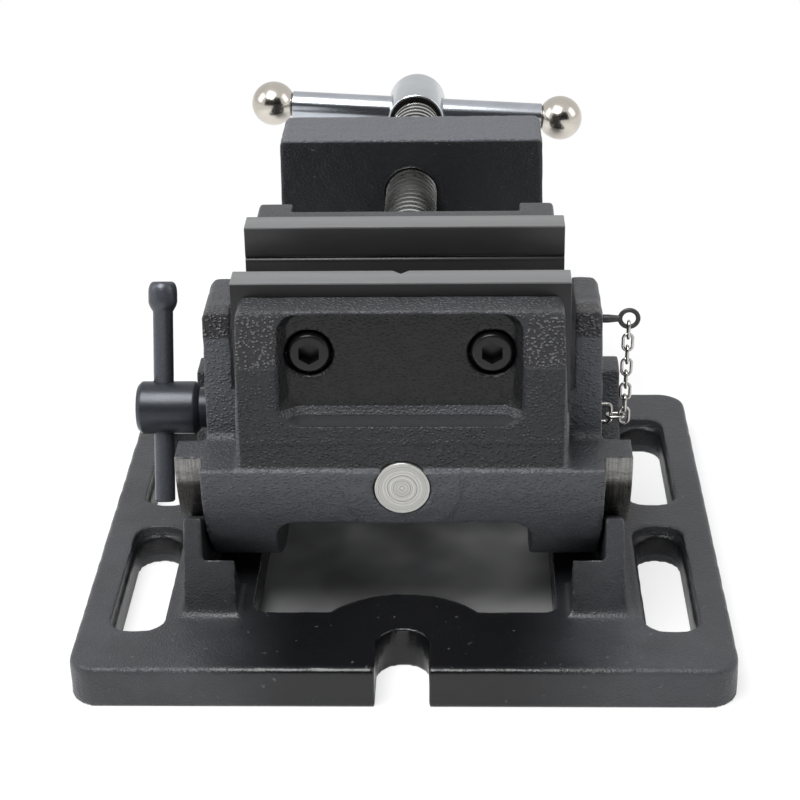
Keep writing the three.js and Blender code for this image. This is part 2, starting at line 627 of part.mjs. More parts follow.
function makeBall(side) {
  const centre = side * bar.halfLength;
  const geometry = new THREE.SphereGeometry(ball.radius, steps.ball * 2, steps.ball);
  const sphere = solid(geometry.rotateZ(Math.PI / 2).translate(centre, 0, 0));
  const flat = block(span(side, 0, bar.halfLength - ball.radius + runGap + seatGap),
    [-ball.radius, ball.radius], [-ball.radius, ball.radius]);
  const bore = roundBar(barEndRadius + seatGap, 'x', ...span(side, 0, bar.halfLength), [0, 0], steps.hole);
  return atBar(sphere.subtract(flat).subtract(bore));
}

function makeRetainer() {
  const low = screwHeight - retainer.length / 2 + seatGap;
  const along = movingCastBack - retainer.fromFace;
  return roundBar(retainer.radius, 'z', low, low + retainer.length, [retainerX, along], steps.hole);
}

function makeRod() {
  const front = jawFront - seatGap;
  const [r, e] = [rod.radius, seatGap];
  return turned([
    [0, front], [r - e, front], [r, front + e], [r, blockBack - e], [r - e, blockBack], [0, blockBack],
  ], 'y', [0, rodHeight]);
}

// The lock: a hub on a threaded shank, with a bar through it that ends in a small knob
function atLockBar(solidAlongZ) {
  const place = new THREE.Matrix4().makeTranslation(lockBarX, 0, axisHeight)
    .multiply(new THREE.Matrix4().makeRotationX(lock.lean));
  return solidAlongZ.transform(place.elements);
}

function makeLockScrew() {
  const [r, e] = [lock.hubRadius, lock.hubEdge];
  const bodySide = earOuter + runGap;
  const profile = [
    [0, -hubOuter], [r - e, -hubOuter], [r, -hubOuter + e], [r, -lockNeckEnd - e],
    [r - e, -lockNeckEnd], [lock.neckRadius, -lockNeckEnd], [lock.neckRadius, -bodySide],
    [lock.shankRadius, -bodySide], [lock.shankRadius, -shankTip], [0, -shankTip],
  ];
  const reach = lock.hubRadius * 2;
  const hole = roundBar(lock.barRadius + seatGap, 'z', -reach, reach, [0, 0], steps.hole);
  return turned(profile, 'x', [0, axisHeight]).subtract(atLockBar(hole));
}

function makeLockBar() {
  const [r, knob] = [lock.barRadius, lock.knobRadius];
  const [down, up] = [-lock.barDown, lock.barUp];
  const neckEnd = up - lock.knobHigh + lock.knobCrown;
  const bulge = lock.bulgeShares.map((share) => [
    r + (knob - r) * Math.sin(share * Math.PI / 2), neckEnd + (up - neckEnd) * share]);
  const profile = [
    [0, down], [r - seatGap * 2, down], [r, down + seatGap * 2], ...bulge,
    [knob * lock.crownWideShare, up + lock.knobCrown], [0, up + lock.knobCrown],
  ];
  return atLockBar(turned(profile, 'z', [0, 0], steps.hole));
}

// The locating pin runs in the right ear and ends in a flat eye
function makePin() {
  const tip = earOuter - pin.inEar;
  const eyeStart = eyeX - pin.eyeRadius;
  const neckEnd = eyeStart - pin.flare;
  const halfThick = pin.eyeThick / 2;
  const thickness = [pinAlong - halfThick, pinAlong + halfThick];
  const webHalf = pin.eyeRadius * Math.SQRT1_2;
  const shaft = turned([
    [0, tip], [pin.radius, tip], [pin.radius, neckEnd], [halfThick, eyeStart], [0, eyeStart + pin.flare / 2],
  ], 'x', [pinAlong, pinHeight], steps.hole);
  const eye = roundBar(pin.eyeRadius, 'y', ...thickness, [eyeX, pinHeight], steps.hole);
  const web = pushed(polygon([
    [neckEnd, pinHeight - pin.radius], [eyeX, pinHeight - webHalf], [eyeX, pinHeight + webHalf],
    [neckEnd, pinHeight + pin.radius],
  ]), 'y', ...thickness);
  const hole = roundBar(pin.eyeHole, 'y', pinAlong - overrun, pinAlong + overrun, [eyeX, pinHeight],
    steps.hole);
  return joined(shaft, eye, web).subtract(hole);
}

// One chain link: a wire bent to a long ring, standing along Z
function chainLink(turn) {
  const endRadius = chain.width / 2 - chain.wire;
  const straight = chain.length / 2 - chain.width / 2;
  const arc = (centre, from) => {
    const points = [];
    for (let i = 0; i <= steps.linkEnd; i += 1) {
      const angle = from + Math.PI * i / steps.linkEnd;
      points.push(new THREE.Vector3(endRadius * Math.cos(angle), 0, centre + endRadius * Math.sin(angle)));
    }
    return points;
  };
  const centres = [...arc(straight, 0), ...arc(-straight, Math.PI)];
  const count = centres.length;
  const positions = [];
  centres.forEach((centre, i) => {
    const end = i <= steps.linkEnd ? straight : -straight;
    const outward = new THREE.Vector3(centre.x, 0, centre.z - end).normalize();
    for (let j = 0; j < steps.wire; j += 1) {
      const angle = 2 * Math.PI * j / steps.wire;
      const point = centre.clone().addScaledVector(outward, chain.wire * Math.cos(angle));
      positions.push(point.x, chain.wire * Math.sin(angle), point.z);
    }
  });
  const index = [];
  for (let i = 0; i < count; i += 1) {
    for (let j = 0; j < steps.wire; j += 1) {
      const [a, b] = [i * steps.wire + j, i * steps.wire + (j + 1) % steps.wire];
      const [c, d] = [a, b].map((k) => (k + steps.wire) % (count * steps.wire));
      index.push(a, b, d, a, d, c);
    }
  }
  const geometry = new THREE.BufferGeometry();
  geometry.setAttribute('position', new THREE.Float32BufferAttribute(positions, 3));
  geometry.setIndex(index);
  return solid(geometry.rotateZ(turn));
}

function makeLink(number) {
  const place = new THREE.Matrix4().makeTranslation(eyeX, pinAlong, pinHeight)
    .multiply(new THREE.Matrix4().makeRotationY(chainLean))
    .multiply(new THREE.Matrix4().makeTranslation(0, 0, -firstDrop - number * linkPitch));
  return chainLink((number + 1) % 2 * Math.PI / 2).transform(place.elements);
}

function makeEndLink() {
  const place = new THREE.Matrix4().makeTranslation(endLinkX, pinAlong, endLinkHeight)
    .multiply(new THREE.Matrix4().makeRotationY(Math.PI / 2));
  return chainLink(Math.PI / 2).transform(place.elements);
}

// The staple: a wire bent to a U, with its legs in the ear's side
function makeStaple() {
  const r = staple.wire;
  const inside = earOuter - staple.deep;
  const half = staple.high / 2;
  const legs = bothSides((leg) => roundBar(r, 'x', inside, stapleOut,
    [pinAlong, stapleMiddle + leg * half], steps.wire / 2));
  const cross = roundBar(r, 'z', stapleMiddle - half - r, stapleMiddle + half + r, [stapleOut, pinAlong],
    steps.wire / 2);
  return joined(legs, cross);
}

// Materials, and the vise put together
const looks = {
  paintedIron: { color: 0x3d3e42, roughness: 0.62, metalness: 0.15 },
  groundSteel: { color: 0x9a9c9e, roughness: 0.32, metalness: 0.95 },
  darkSteel: { color: 0x6f6f6b, roughness: 0.4, metalness: 0.9 },
  chrome: { color: 0xd8dadc, roughness: 0.08, metalness: 1 },
  nickel: { color: 0xc9c4b8, roughness: 0.18, metalness: 1 },
  blackOxide: { color: 0x2c2d30, roughness: 0.4, metalness: 0.7 },
  brightSteel: { color: 0xc4c4be, roughness: 0.3, metalness: 0.95 },
};

const vise = new THREE.Group();

function add(name, shape, look, parent = vise) {
  const { vertProperties, triVerts } = shape.getMesh();
  const geometry = new THREE.BufferGeometry();
  geometry.setAttribute('position', new THREE.BufferAttribute(new Float32Array(vertProperties), 3));
  geometry.setIndex(new THREE.BufferAttribute(new Uint32Array(triVerts), 1));
  const flat = geometry.toNonIndexed();
  flat.computeVertexNormals();
  const mesh = new THREE.Mesh(flat, new THREE.MeshStandardMaterial(looks[look]));
  mesh.name = name;
  parent.add(mesh);
}

const sideName = (side) => (side < 0 ? 'left' : 'right');

add('base', makeBase(), 'paintedIron');
add('vise_body', makeBody(), 'paintedIron');
add('fixed_jaw_plate', jawPlate(gripFace, 1, false), 'groundSteel');
add('movable_jaw', makeMovingJaw(), 'paintedIron');
add('movable_jaw_plate', jawPlate(movingFace, -1, true), 'groundSteel');
const fixedHead = inPocket + counterbore.deep - seatGap - bolt.headHigh;
const movingHead = behindWeb + seatGap + bolt.headHigh;
for (const side of [-1, 1]) {
  const x = side * boltOut;
  const fixedBolt = capBolt(x, fixedHead, 1, fixedPlateBack + bolt.intoPlate);
  const movingBolt = capBolt(x, movingHead, -1, movingFace + plate.thick - bolt.intoPlate);
  add(`fixed_plate_bolt_${sideName(side)}`, fixedBolt, 'blackOxide');
  add(`movable_plate_bolt_${sideName(side)}`, movingBolt, 'blackOxide');
}
add('guide_rod', makeRod(), 'brightSteel');
add('lead_screw', makeScrew(), 'darkSteel');
add('screw_retaining_pin', makeRetainer(), 'darkSteel');
add('screw_head', makeScrewHead(), 'chrome');
add('handle_bar', makeBar(), 'chrome');
for (const side of [-1, 1]) add(`handle_ball_${sideName(side)}`, makeBall(side), 'nickel');
add('lock_screw', makeLockScrew(), 'blackOxide');
add('lock_bar', makeLockBar(), 'blackOxide');
add('locating_pin', makePin(), 'blackOxide');
for (let number = 0; number < chain.links; number += 1) {
  add(`chain_link_${number + 1}`, makeLink(number), 'nickel');
}
add('chain_end_link', makeEndLink(), 'nickel');
add('chain_staple', makeStaple(), 'nickel');

// The origin goes under the middle of the whole vise, from the base's front edge to the screw's head
vise.position.y = -(baseFront + headBack) / 2;

export default vise;
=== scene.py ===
"""Finishes the tilting bench vise: rounded castings, ground jaw plates, a cut thread, bolts, chain and stage."""

import json
import math

import bpy
import numpy as np
from mathutils import Matrix, Vector


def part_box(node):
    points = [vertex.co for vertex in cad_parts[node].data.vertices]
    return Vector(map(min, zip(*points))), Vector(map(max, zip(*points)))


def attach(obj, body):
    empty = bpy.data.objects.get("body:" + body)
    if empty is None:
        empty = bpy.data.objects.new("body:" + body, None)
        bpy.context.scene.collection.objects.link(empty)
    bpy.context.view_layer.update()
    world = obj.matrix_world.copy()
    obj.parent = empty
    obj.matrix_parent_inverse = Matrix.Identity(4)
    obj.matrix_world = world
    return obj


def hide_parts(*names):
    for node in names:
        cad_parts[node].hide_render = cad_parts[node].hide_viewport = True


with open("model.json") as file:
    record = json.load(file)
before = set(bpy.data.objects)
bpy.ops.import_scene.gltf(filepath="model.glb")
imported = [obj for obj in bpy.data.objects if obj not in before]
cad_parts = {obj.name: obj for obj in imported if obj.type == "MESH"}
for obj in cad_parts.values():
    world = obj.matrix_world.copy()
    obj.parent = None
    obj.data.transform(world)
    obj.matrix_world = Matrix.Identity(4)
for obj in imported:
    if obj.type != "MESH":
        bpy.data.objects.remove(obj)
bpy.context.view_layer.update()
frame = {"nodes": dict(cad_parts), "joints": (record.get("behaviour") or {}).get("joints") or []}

bl_info = {
    "name": "Tilting Bench Vise",
    "version": (1, 0, 0),
    "blender": (4, 5, 0),
    "location": "3D View > Sidebar > Vise",
    "description": "Builds a tilting drill-table vise with cast, ground, plated and blackened finishes",
    "category": "Add Mesh",
}

MM = 0.001
X_AXIS, Y_AXIS, Z_AXIS = Vector((1, 0, 0)), Vector((0, 1, 0)), Vector((0, 0, 1))
SIDES = {"left": -1, "right": 1}
JOINTS = {joint["name"]: joint for joint in frame["joints"]}

# Places that the frame gives
TILT_CENTRE = Vector(JOINTS["body_tilt"]["pos_m"])
SCREW_CENTRE = Vector(JOINTS["screw_turn"]["pos_m"])
BAR_DIRECTION = Vector(JOINTS["handle_slide"]["axis"])
EYE_CENTRE = Vector(JOINTS["chain_swing"]["pos_m"])
LOCK_CENTRE = Vector(JOINTS["lock_turn"]["pos_m"])

# Measures of the castings in millimetres
JAW_FRONT = TILT_CENTRE.y / MM - 45
PIVOT_HEIGHT = TILT_CENTRE.z / MM
BED_FRONT, BED_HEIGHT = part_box("fixed_jaw_plate")[1].y / MM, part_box("fixed_jaw_plate")[0].z / MM
BASE_FRONT, BASE_REAR = (corner.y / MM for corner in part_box("base"))
DRUM_RADIUS, RAIL_RADIUS = 46, 36.5
POCKET_FOOT, POCKET_FLOOR = 74.5, 79.4

# Zones of the castings, with the limits that zone() takes
POCKET = {"side": (None, 36.6), "y": (JAW_FRONT + 1.2, JAW_FRONT + 8, 0.5), "z": (POCKET_FLOOR, 109.6)}
LEDGE = {"side": (None, 36), "y": (JAW_FRONT + 0.6, JAW_FRONT + 6), "z": (74, 76.9)}
LOW_WALL = {"side": (None, 48.6), "y": (None, JAW_FRONT + 0.9, 0.4), "z": (61, 93.4)}
HIGH_FRONT = {"y": (None, JAW_FRONT + 29.5, 2.5), "z": (94, None, 0.6)}
BLOCK_FRONT = {"y": (37, 38.6), "z": (76, 112)}
BLOCK_TOP = {"y": (36, 70), "z": (111.6, 114)}
EARS = {"side": (48, 80), "y": (None, JAW_FRONT + 31, 3), "z": (61, None, 1)}
DRUM = {"most": 0.8, "tilt": (44.6, 48), "z": (None, PIVOT_HEIGHT + 1.5, 0.5)}
RAILS = {"tilt": (35.7, 40), "side": (60.9, 90), "z": (None, PIVOT_HEIGHT + 0.55, 0.25)}
BED = {"side": (None, 46.8), "y": (BED_FRONT, None), "z": (BED_HEIGHT - 1, BED_HEIGHT + 0.6)}
UNDERSIDE = {"z": (None, 0.4, 0.2)}
SEATS = {"tilt": (36, 37.5), "side": (60.5, 70)}
BETWEEN_POSTS = {"most": 0.92, "side": (None, 50, 20)}
SLOTS = {"side": (66, 95), "y": (BASE_FRONT + 8, BASE_REAR - 8), "z": (3, 10)}

# Painted light and shade: each tone is a zone, the share of the paint's colour, the roughness and the share of the
# skin's relief
# The base is painted darker between the posts, under the body, and in its slots, as shade
BASE_PAINTED_SHADE = ((BETWEEN_POSTS, 0.1, 0.2, 0.12), (SLOTS, 0.3, 0.37, 0.6))
# The body is painted darker as shade in the pocket, on the ledge, on the low front wall and on the block's front
BODY_PAINTED_LIGHT_AND_SHADE = (
    (POCKET, 0.12, 0.37, 0.5), (LEDGE, 0.5, 0.8, 0.3), (LOW_WALL, 0.6, 0.37, 1.0), (BLOCK_FRONT, 0.5, 0.3, 0.35),
    # Painted light: the block's top, the ears and the drum are painted lighter
    (BLOCK_TOP, 2.9, 0.37, 1.0), (EARS, 2.2, 0.37, 1.0), (DRUM, 2.2, 0.37, 0.8),
)

# Colours of edge highlight and worn paint, specks, grinding marks, and painted light and shade
EDGE_HIGHLIGHT_AND_WEAR, SPECK = (0.24, 0.242, 0.25, 1), (0.19, 0.19, 0.2, 1)
PEBBLE_ROOT_SHADE, PEBBLE_TOP_GLINT = (0.02, 0.02, 0.022, 1), (0.12, 0.12, 0.126, 1)
RAIL_MARK, RAIL_SHADE, RAIL_SHADE_MARK = (0.18, 0.175, 0.168, 1), (0.04, 0.038, 0.036, 1), (0.085, 0.08, 0.074, 1)
THREAD_ROOT_SHADE, HEAD_FACE_SHADE = (0.035, 0.034, 0.032, 1), (0.03, 0.028, 0.026, 1)


def middle(node):
    """The middle of a CAD node's box."""
    low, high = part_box(node)
    return (low + high) / 2


def length_value(name, description, millimetres):
    """A length that the user can change, with its default in millimetres."""
    return bpy.props.FloatProperty(name=name, description=description, default=millimetres * MM, unit="LENGTH")


def colour_value(name, description, default):
    """A colour that the user can change."""
    return bpy.props.FloatVectorProperty(name=name, description=description, default=default, subtype="COLOR", size=3)


def angle_value(name, description, degrees):
    """An angle that the user can change, with its default in degrees."""
    return bpy.props.FloatProperty(
        name=name, description=description, default=math.radians(degrees), subtype="ANGLE"
    )


class CastingSettings(bpy.types.PropertyGroup):
    """How the cast pieces are rounded and painted."""

    grain: length_value("Grain", "Size of the bumps of the sand-cast skin", 0.85)
    voxel: length_value("Voxel", "Mesh step of the rounded castings", 0.64)
    paint: colour_value("Paint", "Charcoal enamel", (0.030, 0.031, 0.035))
    bare: colour_value("Bare iron", "Machined iron of the rails", (0.29, 0.288, 0.28))


class PlateSettings(bpy.types.PropertyGroup):
    """The jaw plates and their bolts."""

    groove: length_value("Groove", "Depth of the fixed plate's upright groove", 2.4)
    level_groove: length_value("Level groove", "Depth of the moving plate's level groove", 0.6)
    groove_drop: length_value("Groove drop", "From the plate's top to its level groove", 10.4)
    edge: length_value("Edge", "Width of the broken edges", 0.35)
    steel: colour_value("Steel", "Ground steel", (0.32, 0.323, 0.328))


class ScrewSettings(bpy.types.PropertyGroup):
    """The lead screw, its head and its handle."""

    pitch: length_value("Pitch", "Advance of the screw in one turn", 4)
    depth: length_value("Depth", "Depth of the thread", 1.9)
    bar_radius: length_value("Bar radius", "Radius of the handle bar", 5.2)
    ball_radius: length_value("Ball radius", "Radius of the handle's balls", 8.6)


class SmallPartSettings(bpy.types.PropertyGroup):
    """The lock lever, the locating pin and the chain."""

    lean: angle_value("Lean", "Lean of the lock bar at rest", -22)
    wire: length_value("Wire", "Radius of the chain's wire", 0.5)
    staple_wire: length_value("Staple wire", "Radius of the staple's wire", 0.6)


class StageSettings(bpy.types.PropertyGroup):
    """The camera, the lamps and the floor."""

    lens: bpy.props.FloatProperty(name="Lens", description="Focal length in millimetres", default=93.89)
    camera_place: bpy.props.FloatVectorProperty(
        name="Camera", description="Where the camera stands", default=(0.01896, -0.66096, 0.34899), size=3
    )
    pitch: angle_value("Pitch", "How far the camera looks down", 25.793)
    yaw: angle_value("Yaw", "How far the camera looks to the right", -2.507)
    roll: angle_value("Roll", "Roll of the camera", 1.253)
    shift: bpy.props.FloatProperty(
        name="Shift", description="Sideways shift of the photograph's frame", default=0.0209
    )


SETTINGS = {
    "vise_castings": CastingSettings,
    "vise_plates": PlateSettings,
    "vise_screw": ScrewSettings,
    "vise_small": SmallPartSettings,
    "vise_stage": StageSettings,
}


# Mesh tools
def begin():
    """Leaves edit mode and deselects everything."""
    if bpy.context.object and bpy.context.object.mode != "OBJECT":
        bpy.ops.object.mode_set(mode="OBJECT")
    bpy.ops.object.select_all(action="DESELECT")


def pick(piece):
    """Makes a piece the only selected and active one."""
    begin()
    piece.select_set(True)
    bpy.context.view_layer.objects.active = piece


def edit(piece):
    """Opens a piece in edit mode with all of it selected."""
    pick(piece)
    bpy.ops.object.mode_set(mode="EDIT")
    bpy.ops.mesh.select_mode(type="VERT")
    bpy.ops.mesh.select_all(action="SELECT")


def close():
    """Goes back to object mode."""
    bpy.ops.object.mode_set(mode="OBJECT")


def modify(piece, kind, **values):
    """Adds a modifier to a piece and applies it."""
    pick(piece)
    modifier = piece.modifiers.new(kind.lower(), kind)
    for name, value in values.items():
        setattr(modifier, name, value)
    bpy.ops.object.modifier_apply(modifier=modifier.name)


def mend(piece, gap=1e-6):
    """Merges doubles and turns the faces outwards."""
    edit(piece)
    bpy.ops.mesh.remove_doubles(threshold=gap)
    bpy.ops.mesh.dissolve_degenerate(threshold=gap)
    bpy.ops.mesh.select_all(action="SELECT")
    bpy.ops.mesh.normals_make_consistent(inside=False)
    close()


def points_of(piece, what="co"):
    """A piece's vertices, or their normals, as an array."""
    points = np.empty(len(piece.data.vertices) * 3)
    piece.data.vertices.foreach_get(what, points)
    return points.reshape(-1, 3)


def put_points(piece, points):
    """Writes an array back to a piece's vertices."""
    piece.data.vertices.foreach_set("co", points.reshape(-1))
    piece.data.update()


def cut(piece, tool, operation="DIFFERENCE"):
    """Cuts a piece with a tool, or joins the tool to it, and removes the tool."""
    modify(piece, "BOOLEAN", object=tool, operation=operation, solver="EXACT")
    bpy.data.objects.remove(tool)


def bevel(piece, width, segments=3, angle=30):
    """Rounds a piece's sharp edges."""
    modify(
        piece, "BEVEL", width=width, segments=segments, limit_method="ANGLE", angle_limit=math.radians(angle),
        harden_normals=False,
    )


def smooth(piece, angle):
    """Shades a piece smooth, apart from its sharp edges."""
    pick(piece)
    bpy.ops.object.shade_smooth_by_angle(angle=math.radians(angle))


def place(piece, matrix):
    """Moves a piece's mesh, and leaves its object at the origin."""
    piece.data.transform(matrix)
    piece.matrix_world = Matrix.Identity(4)


def frame_along(direction, centre, up=Z_AXIS):
    """A matrix that takes Z to a direction and the origin to a centre."""
    along = direction.normalized()
    side = up.cross(along) if abs(along.dot(up)) < 0.99 else X_AXIS
    side.normalize()
    turned_up = along.cross(side)
    basis = Matrix((side, turned_up, along)).transposed()
    return Matrix.Translation(centre) @ basis.to_4x4()


def added(name, operator, **values):
    """Adds a primitive and names it."""
    begin()
    operator(**values)
    piece = bpy.context.object
    piece.name = name
    return piece


def cube(name, low, high):
    """A box between two corners."""
    piece = added(name, bpy.ops.mesh.primitive_cube_add, size=1)
    low, high = Vector(low), Vector(high)
    place(piece, Matrix.Translation((low + high) / 2) @ Matrix.Diagonal((*(high - low), 1)))
    return piece


def cylinder(name, radius, start, end, vertices=64):
    """A cylinder from one point to another."""
    start, end = Vector(start), Vector(end)
    length = (end - start).length
    piece = added(name, bpy.ops.mesh.primitive_cylinder_add, vertices=vertices, radius=radius, depth=length)
    place(piece, frame_along(end - start, (start + end) / 2))
    return piece


def turned(name, profile, direction, centre, steps=96):
    """Spins an outline of (distance along, radius) points, which starts and ends on the axis."""
    piece = added(name, bpy.ops.mesh.primitive_circle_add, vertices=len(profile), radius=MM, fill_type="NOTHING")
    for vertex, (along, radius) in zip(piece.data.vertices, profile):
        vertex.co = (radius, 0, along)
    ends = {0, len(profile) - 1}
    edit(piece)
    bpy.ops.mesh.select_all(action="DESELECT")
    close()
    for edge in piece.data.edges:
        edge.select = set(edge.vertices) == ends
    bpy.ops.object.mode_set(mode="EDIT")
    bpy.ops.mesh.select_mode(type="EDGE")
    bpy.ops.mesh.delete(type="EDGE")
    bpy.ops.mesh.select_mode(type="VERT")
    bpy.ops.mesh.select_all(action="SELECT")
    bpy.ops.mesh.spin(steps=steps, angle=2 * math.pi, center=(0, 0, 0), axis=(0, 0, 1))
    close()
    mend(piece)
    place(piece, frame_along(direction, centre))
    mend(piece)
    return piece


def torus(name, radius, thickness, around, across):
    """A ring of round wire that stands in the plane of X and Z."""
    piece = added(
        name, bpy.ops.mesh.primitive_torus_add, major_radius=radius, minor_radius=thickness, major_segments=around,
        minor_segments=across, rotation=(math.pi / 2, 0, 0),
    )
    place(piece, piece.matrix_world.copy())
    return piece


def rounded(points, radius, steps=4):
    """An outline with its inner corners taken off by arcs."""
    made = [points[0]]
    for before, corner, after in zip(points, points[1:], points[2:]):
        back = Vector(before) - Vector(corner)
        ahead = Vector(after) - Vector(corner)
        reach = min(radius, back.length * 0.45, ahead.length * 0.45)
        start = Vector(corner) + back.normalized() * reach
        end = Vector(corner) + ahead.normalized() * reach
        for step in range(steps + 1):
            share = step / steps
            near = start.lerp(Vector(corner), share)
            far = Vector(corner).lerp(end, share)
            made.append(tuple(near.lerp(far, share)))
    made.append(points[-1])
    return made


def finish_piece(piece, body, material, node, angle=35):
    """Shades a piece, gives it its material and its body, and hides the CAD node that it stands for."""
    smooth(piece, angle)
    piece.data.materials.clear()
    piece.data.materials.append(material)
    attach(piece, body)
    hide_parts(node)


# Shader tools
class Sheet:
    """A node tree that is built by short calls."""

    def __init__(self, tree):
        self.tree = tree
        self.nodes = tree.nodes
        self.links = tree.links

    def add(self, kind, **values):
        node = self.nodes.new(kind)
        for name, value in values.items():
            setattr(node, name, value)
        return node

    def feed(self, socket, value):
        if isinstance(value, bpy.types.NodeSocket):
            self.links.new(value, socket)
        elif value is not None:
            socket.default_value = value

    def fill(self, node, values):
        for name, value in values.items():
            self.feed(node.inputs[name], value)
        return node.outputs

    def math(self, operation, first, second=None, third=None, clamp=False):
        node = self.add("ShaderNodeMath", operation=operation, use_clamp=clamp)
        return self.fill(node, {0: first, 1: second, 2: third})[0]

    def times(self, first, *others):
        for other in others:
            first = self.math("MULTIPLY", first, other)
        return first

    def radius(self, across, up, centre_across=0.0, centre_up=0.0):
        across = self.math("SUBTRACT", across, centre_across)
        up = self.math("SUBTRACT", up, centre_up)
        return self.math("SQRT", self.math("ADD", self.times(across, across), self.times(up, up)))

    def mix(self, share, first, second):
        return self.fill(self.add("ShaderNodeMix", data_type="RGBA"), {"Factor": share, 6: first, 7: second})[2]

    def blend(self, share, first, second):
        return self.fill(self.add("ShaderNodeMix", data_type="FLOAT"), {"Factor": share, 2: first, 3: second})[0]

    def noise(self, vector, scale, detail=3.0, roughness=0.55, distortion=0.0):
        values = {"Vector": vector, "Scale": scale, "Detail": detail, "Roughness": roughness, "Distortion": distortion}
        return self.fill(self.add("ShaderNodeTexNoise"), values)["Fac"]

    def ramp(self, value, low, high, first=0.0, second=1.0):
        node = self.add("ShaderNodeMapRange", interpolation_type="SMOOTHSTEP")
        values = {"Value": value, "From Min": low, "From Max": high, "To Min": first, "To Max": second}
        return self.fill(node, values)["Result"]

    def group(self, name, **values):
        return self.fill(self.add("ShaderNodeGroup", node_tree=shared(name)), values)

    def place(self, scale=(1, 1, 1), shift=(0, 0, 0)):
        vector = self.add("ShaderNodeTexCoord").outputs["Object"]
        mapping = self.add("ShaderNodeMapping")
        return self.fill(mapping, {"Vector": vector, "Scale": scale, "Location": shift})["Vector"]

    def xyz(self):
        return self.fill(self.add("ShaderNodeSeparateXYZ"), {0: self.place()})

    def dress(self, shader, colour, roughness, height, strength=0.8):
        bump = self.fill(self.add("ShaderNodeBump"), {"Strength": strength, "Distance": 1.0, "Height": height})
        self.fill(shader, {"Base Color": colour, "Roughness": roughness, "Normal": bump["Normal"]})


def group_sheet(name, inputs, outputs):
    """The sheet of a new node group, with its Vector and number sockets and its named outputs."""
    tree = bpy.data.node_groups.new(name, "ShaderNodeTree")
    tree.interface.new_socket("Vector", in_out="INPUT", socket_type="NodeSocketVector")
    for socket, value in inputs.items():
        tree.interface.new_socket(socket, in_out="INPUT", socket_type="NodeSocketFloat").default_value = value
    for socket in outputs:
        tree.interface.new_socket(socket, in_out="OUTPUT", socket_type="NodeSocketFloat")
    sheet = Sheet(tree)
    return sheet, sheet.add("NodeGroupInput").outputs, sheet.add("NodeGroupOutput").inputs


def new_material(name, roughness, metallic, specular=0.5):
    """A material with its constants set on the shader's own sockets."""
    material = bpy.data.materials.new(name)
    material.use_nodes = True
    shader = material.node_tree.nodes["Principled BSDF"]
    shader.inputs["Roughness"].default_value = roughness
    shader.inputs["Metallic"].default_value = metallic
    shader.inputs["Specular IOR Level"].default_value = specular
    shader.inputs["Coat Weight"].default_value = 0.0
    return material, Sheet(material.node_tree), shader


def tinted(colour, share=1.0):
    """A colour made darker or lighter, with its alpha."""
    return tuple(channel * share for channel in colour) + (1,)


def cast_skin_group():
    """A sand-cast skin under paint: blobs that stand proud, a fine grain, and slow waves."""
    sheet, given, made = group_sheet("cast skin", {"Grain": 870.0}, ("Blobs", "Fine", "Waves", "Cloud"))
    vector, grain = given["Vector"], given["Grain"]
    cells = sheet.add("ShaderNodeTexVoronoi", feature="SMOOTH_F1")
    sheet.feed(cells.inputs["Vector"], vector)
    sheet.feed(cells.inputs["Scale"], grain)
    cells.inputs["Smoothness"].default_value = 0.5
    sheet.feed(made["Blobs"], sheet.ramp(cells.outputs["Distance"], 0.14, 0.54, 1.0, 0.0))
    noises = (("Fine", 2.4, 2.0, 0.6), ("Waves", 0.16, 2.0, 0.5), ("Cloud", 0.035, 3.0, 0.55))
    for name, finer, detail, roughness in noises:
        sheet.feed(made[name], sheet.noise(vector, sheet.times(grain, finer), detail, roughness))
    return sheet.tree


def edge_group():
    """Thin, broken light along the edges that stand proud: painted highlight and worn paint."""
    sheet, given, made = group_sheet("edge wear", {"Pointiness": 0.5}, ("HighlightAndWear",))
    broken = sheet.ramp(sheet.noise(given["Vector"], 260.0, 4.0, 0.7), 0.42, 0.6, 0.1, 1.0)
    sheet.feed(made["HighlightAndWear"], sheet.times(sheet.ramp(given["Pointiness"], 0.53, 0.605), broken))
    return sheet.tree


def grind_group():
    """Fine parallel scratches with a slow change of tone."""
    sheet, given, made = group_sheet("grinding marks", {"Lines": 2500.0}, ("Marks", "Tone"))
    vector, lines = given["Vector"], given["Lines"]
    sheet.feed(made["Marks"], sheet.noise(vector, lines, 4.0, 0.7))
    sheet.feed(made["Tone"], sheet.noise(vector, sheet.times(lines, 0.08), 2.0, 0.5))
    return sheet.tree


def smudge_group():
    """Oil film and handling marks: a soft, cloudy change of gloss."""
    sheet, given, made = group_sheet("handling marks", {"Scale": 60.0, "Amount": 0.1}, ("Gloss", "Spots"))
    vector, scale = given["Vector"], given["Scale"]
    centred = sheet.math("SUBTRACT", sheet.noise(vector, scale, 4.0, 0.6, 0.6), 0.5)
    sheet.feed(made["Gloss"], sheet.times(centred, given["Amount"]))
    spots = sheet.noise(vector, sheet.times(scale, 9.0), 2.0, 0.5)
    sheet.feed(made["Spots"], sheet.ramp(spots, 0.7, 0.76))
    return sheet.tree


GROUPS = {}


def shared(name):
    """One of the shared node groups, built the first time it is asked for."""
    makers = {"skin": cast_skin_group, "edge": edge_group, "grind": grind_group, "smudge": smudge_group}
    if name not in GROUPS:
        GROUPS[name] = makers[name]()
    return GROUPS[name]


def between(sheet, value, low, high, soft=0.3):
    """A mask that is one where a value lies between two limits in millimetres. None is open."""
    sides = []
    if low is not None:
        sides.append(sheet.ramp(value, (low - soft) * MM, (low + soft) * MM))
    if high is not None:
        sides.append(sheet.ramp(value, (high - soft) * MM, (high + soft) * MM, 1.0, 0.0))
    return sheet.times(*sides)


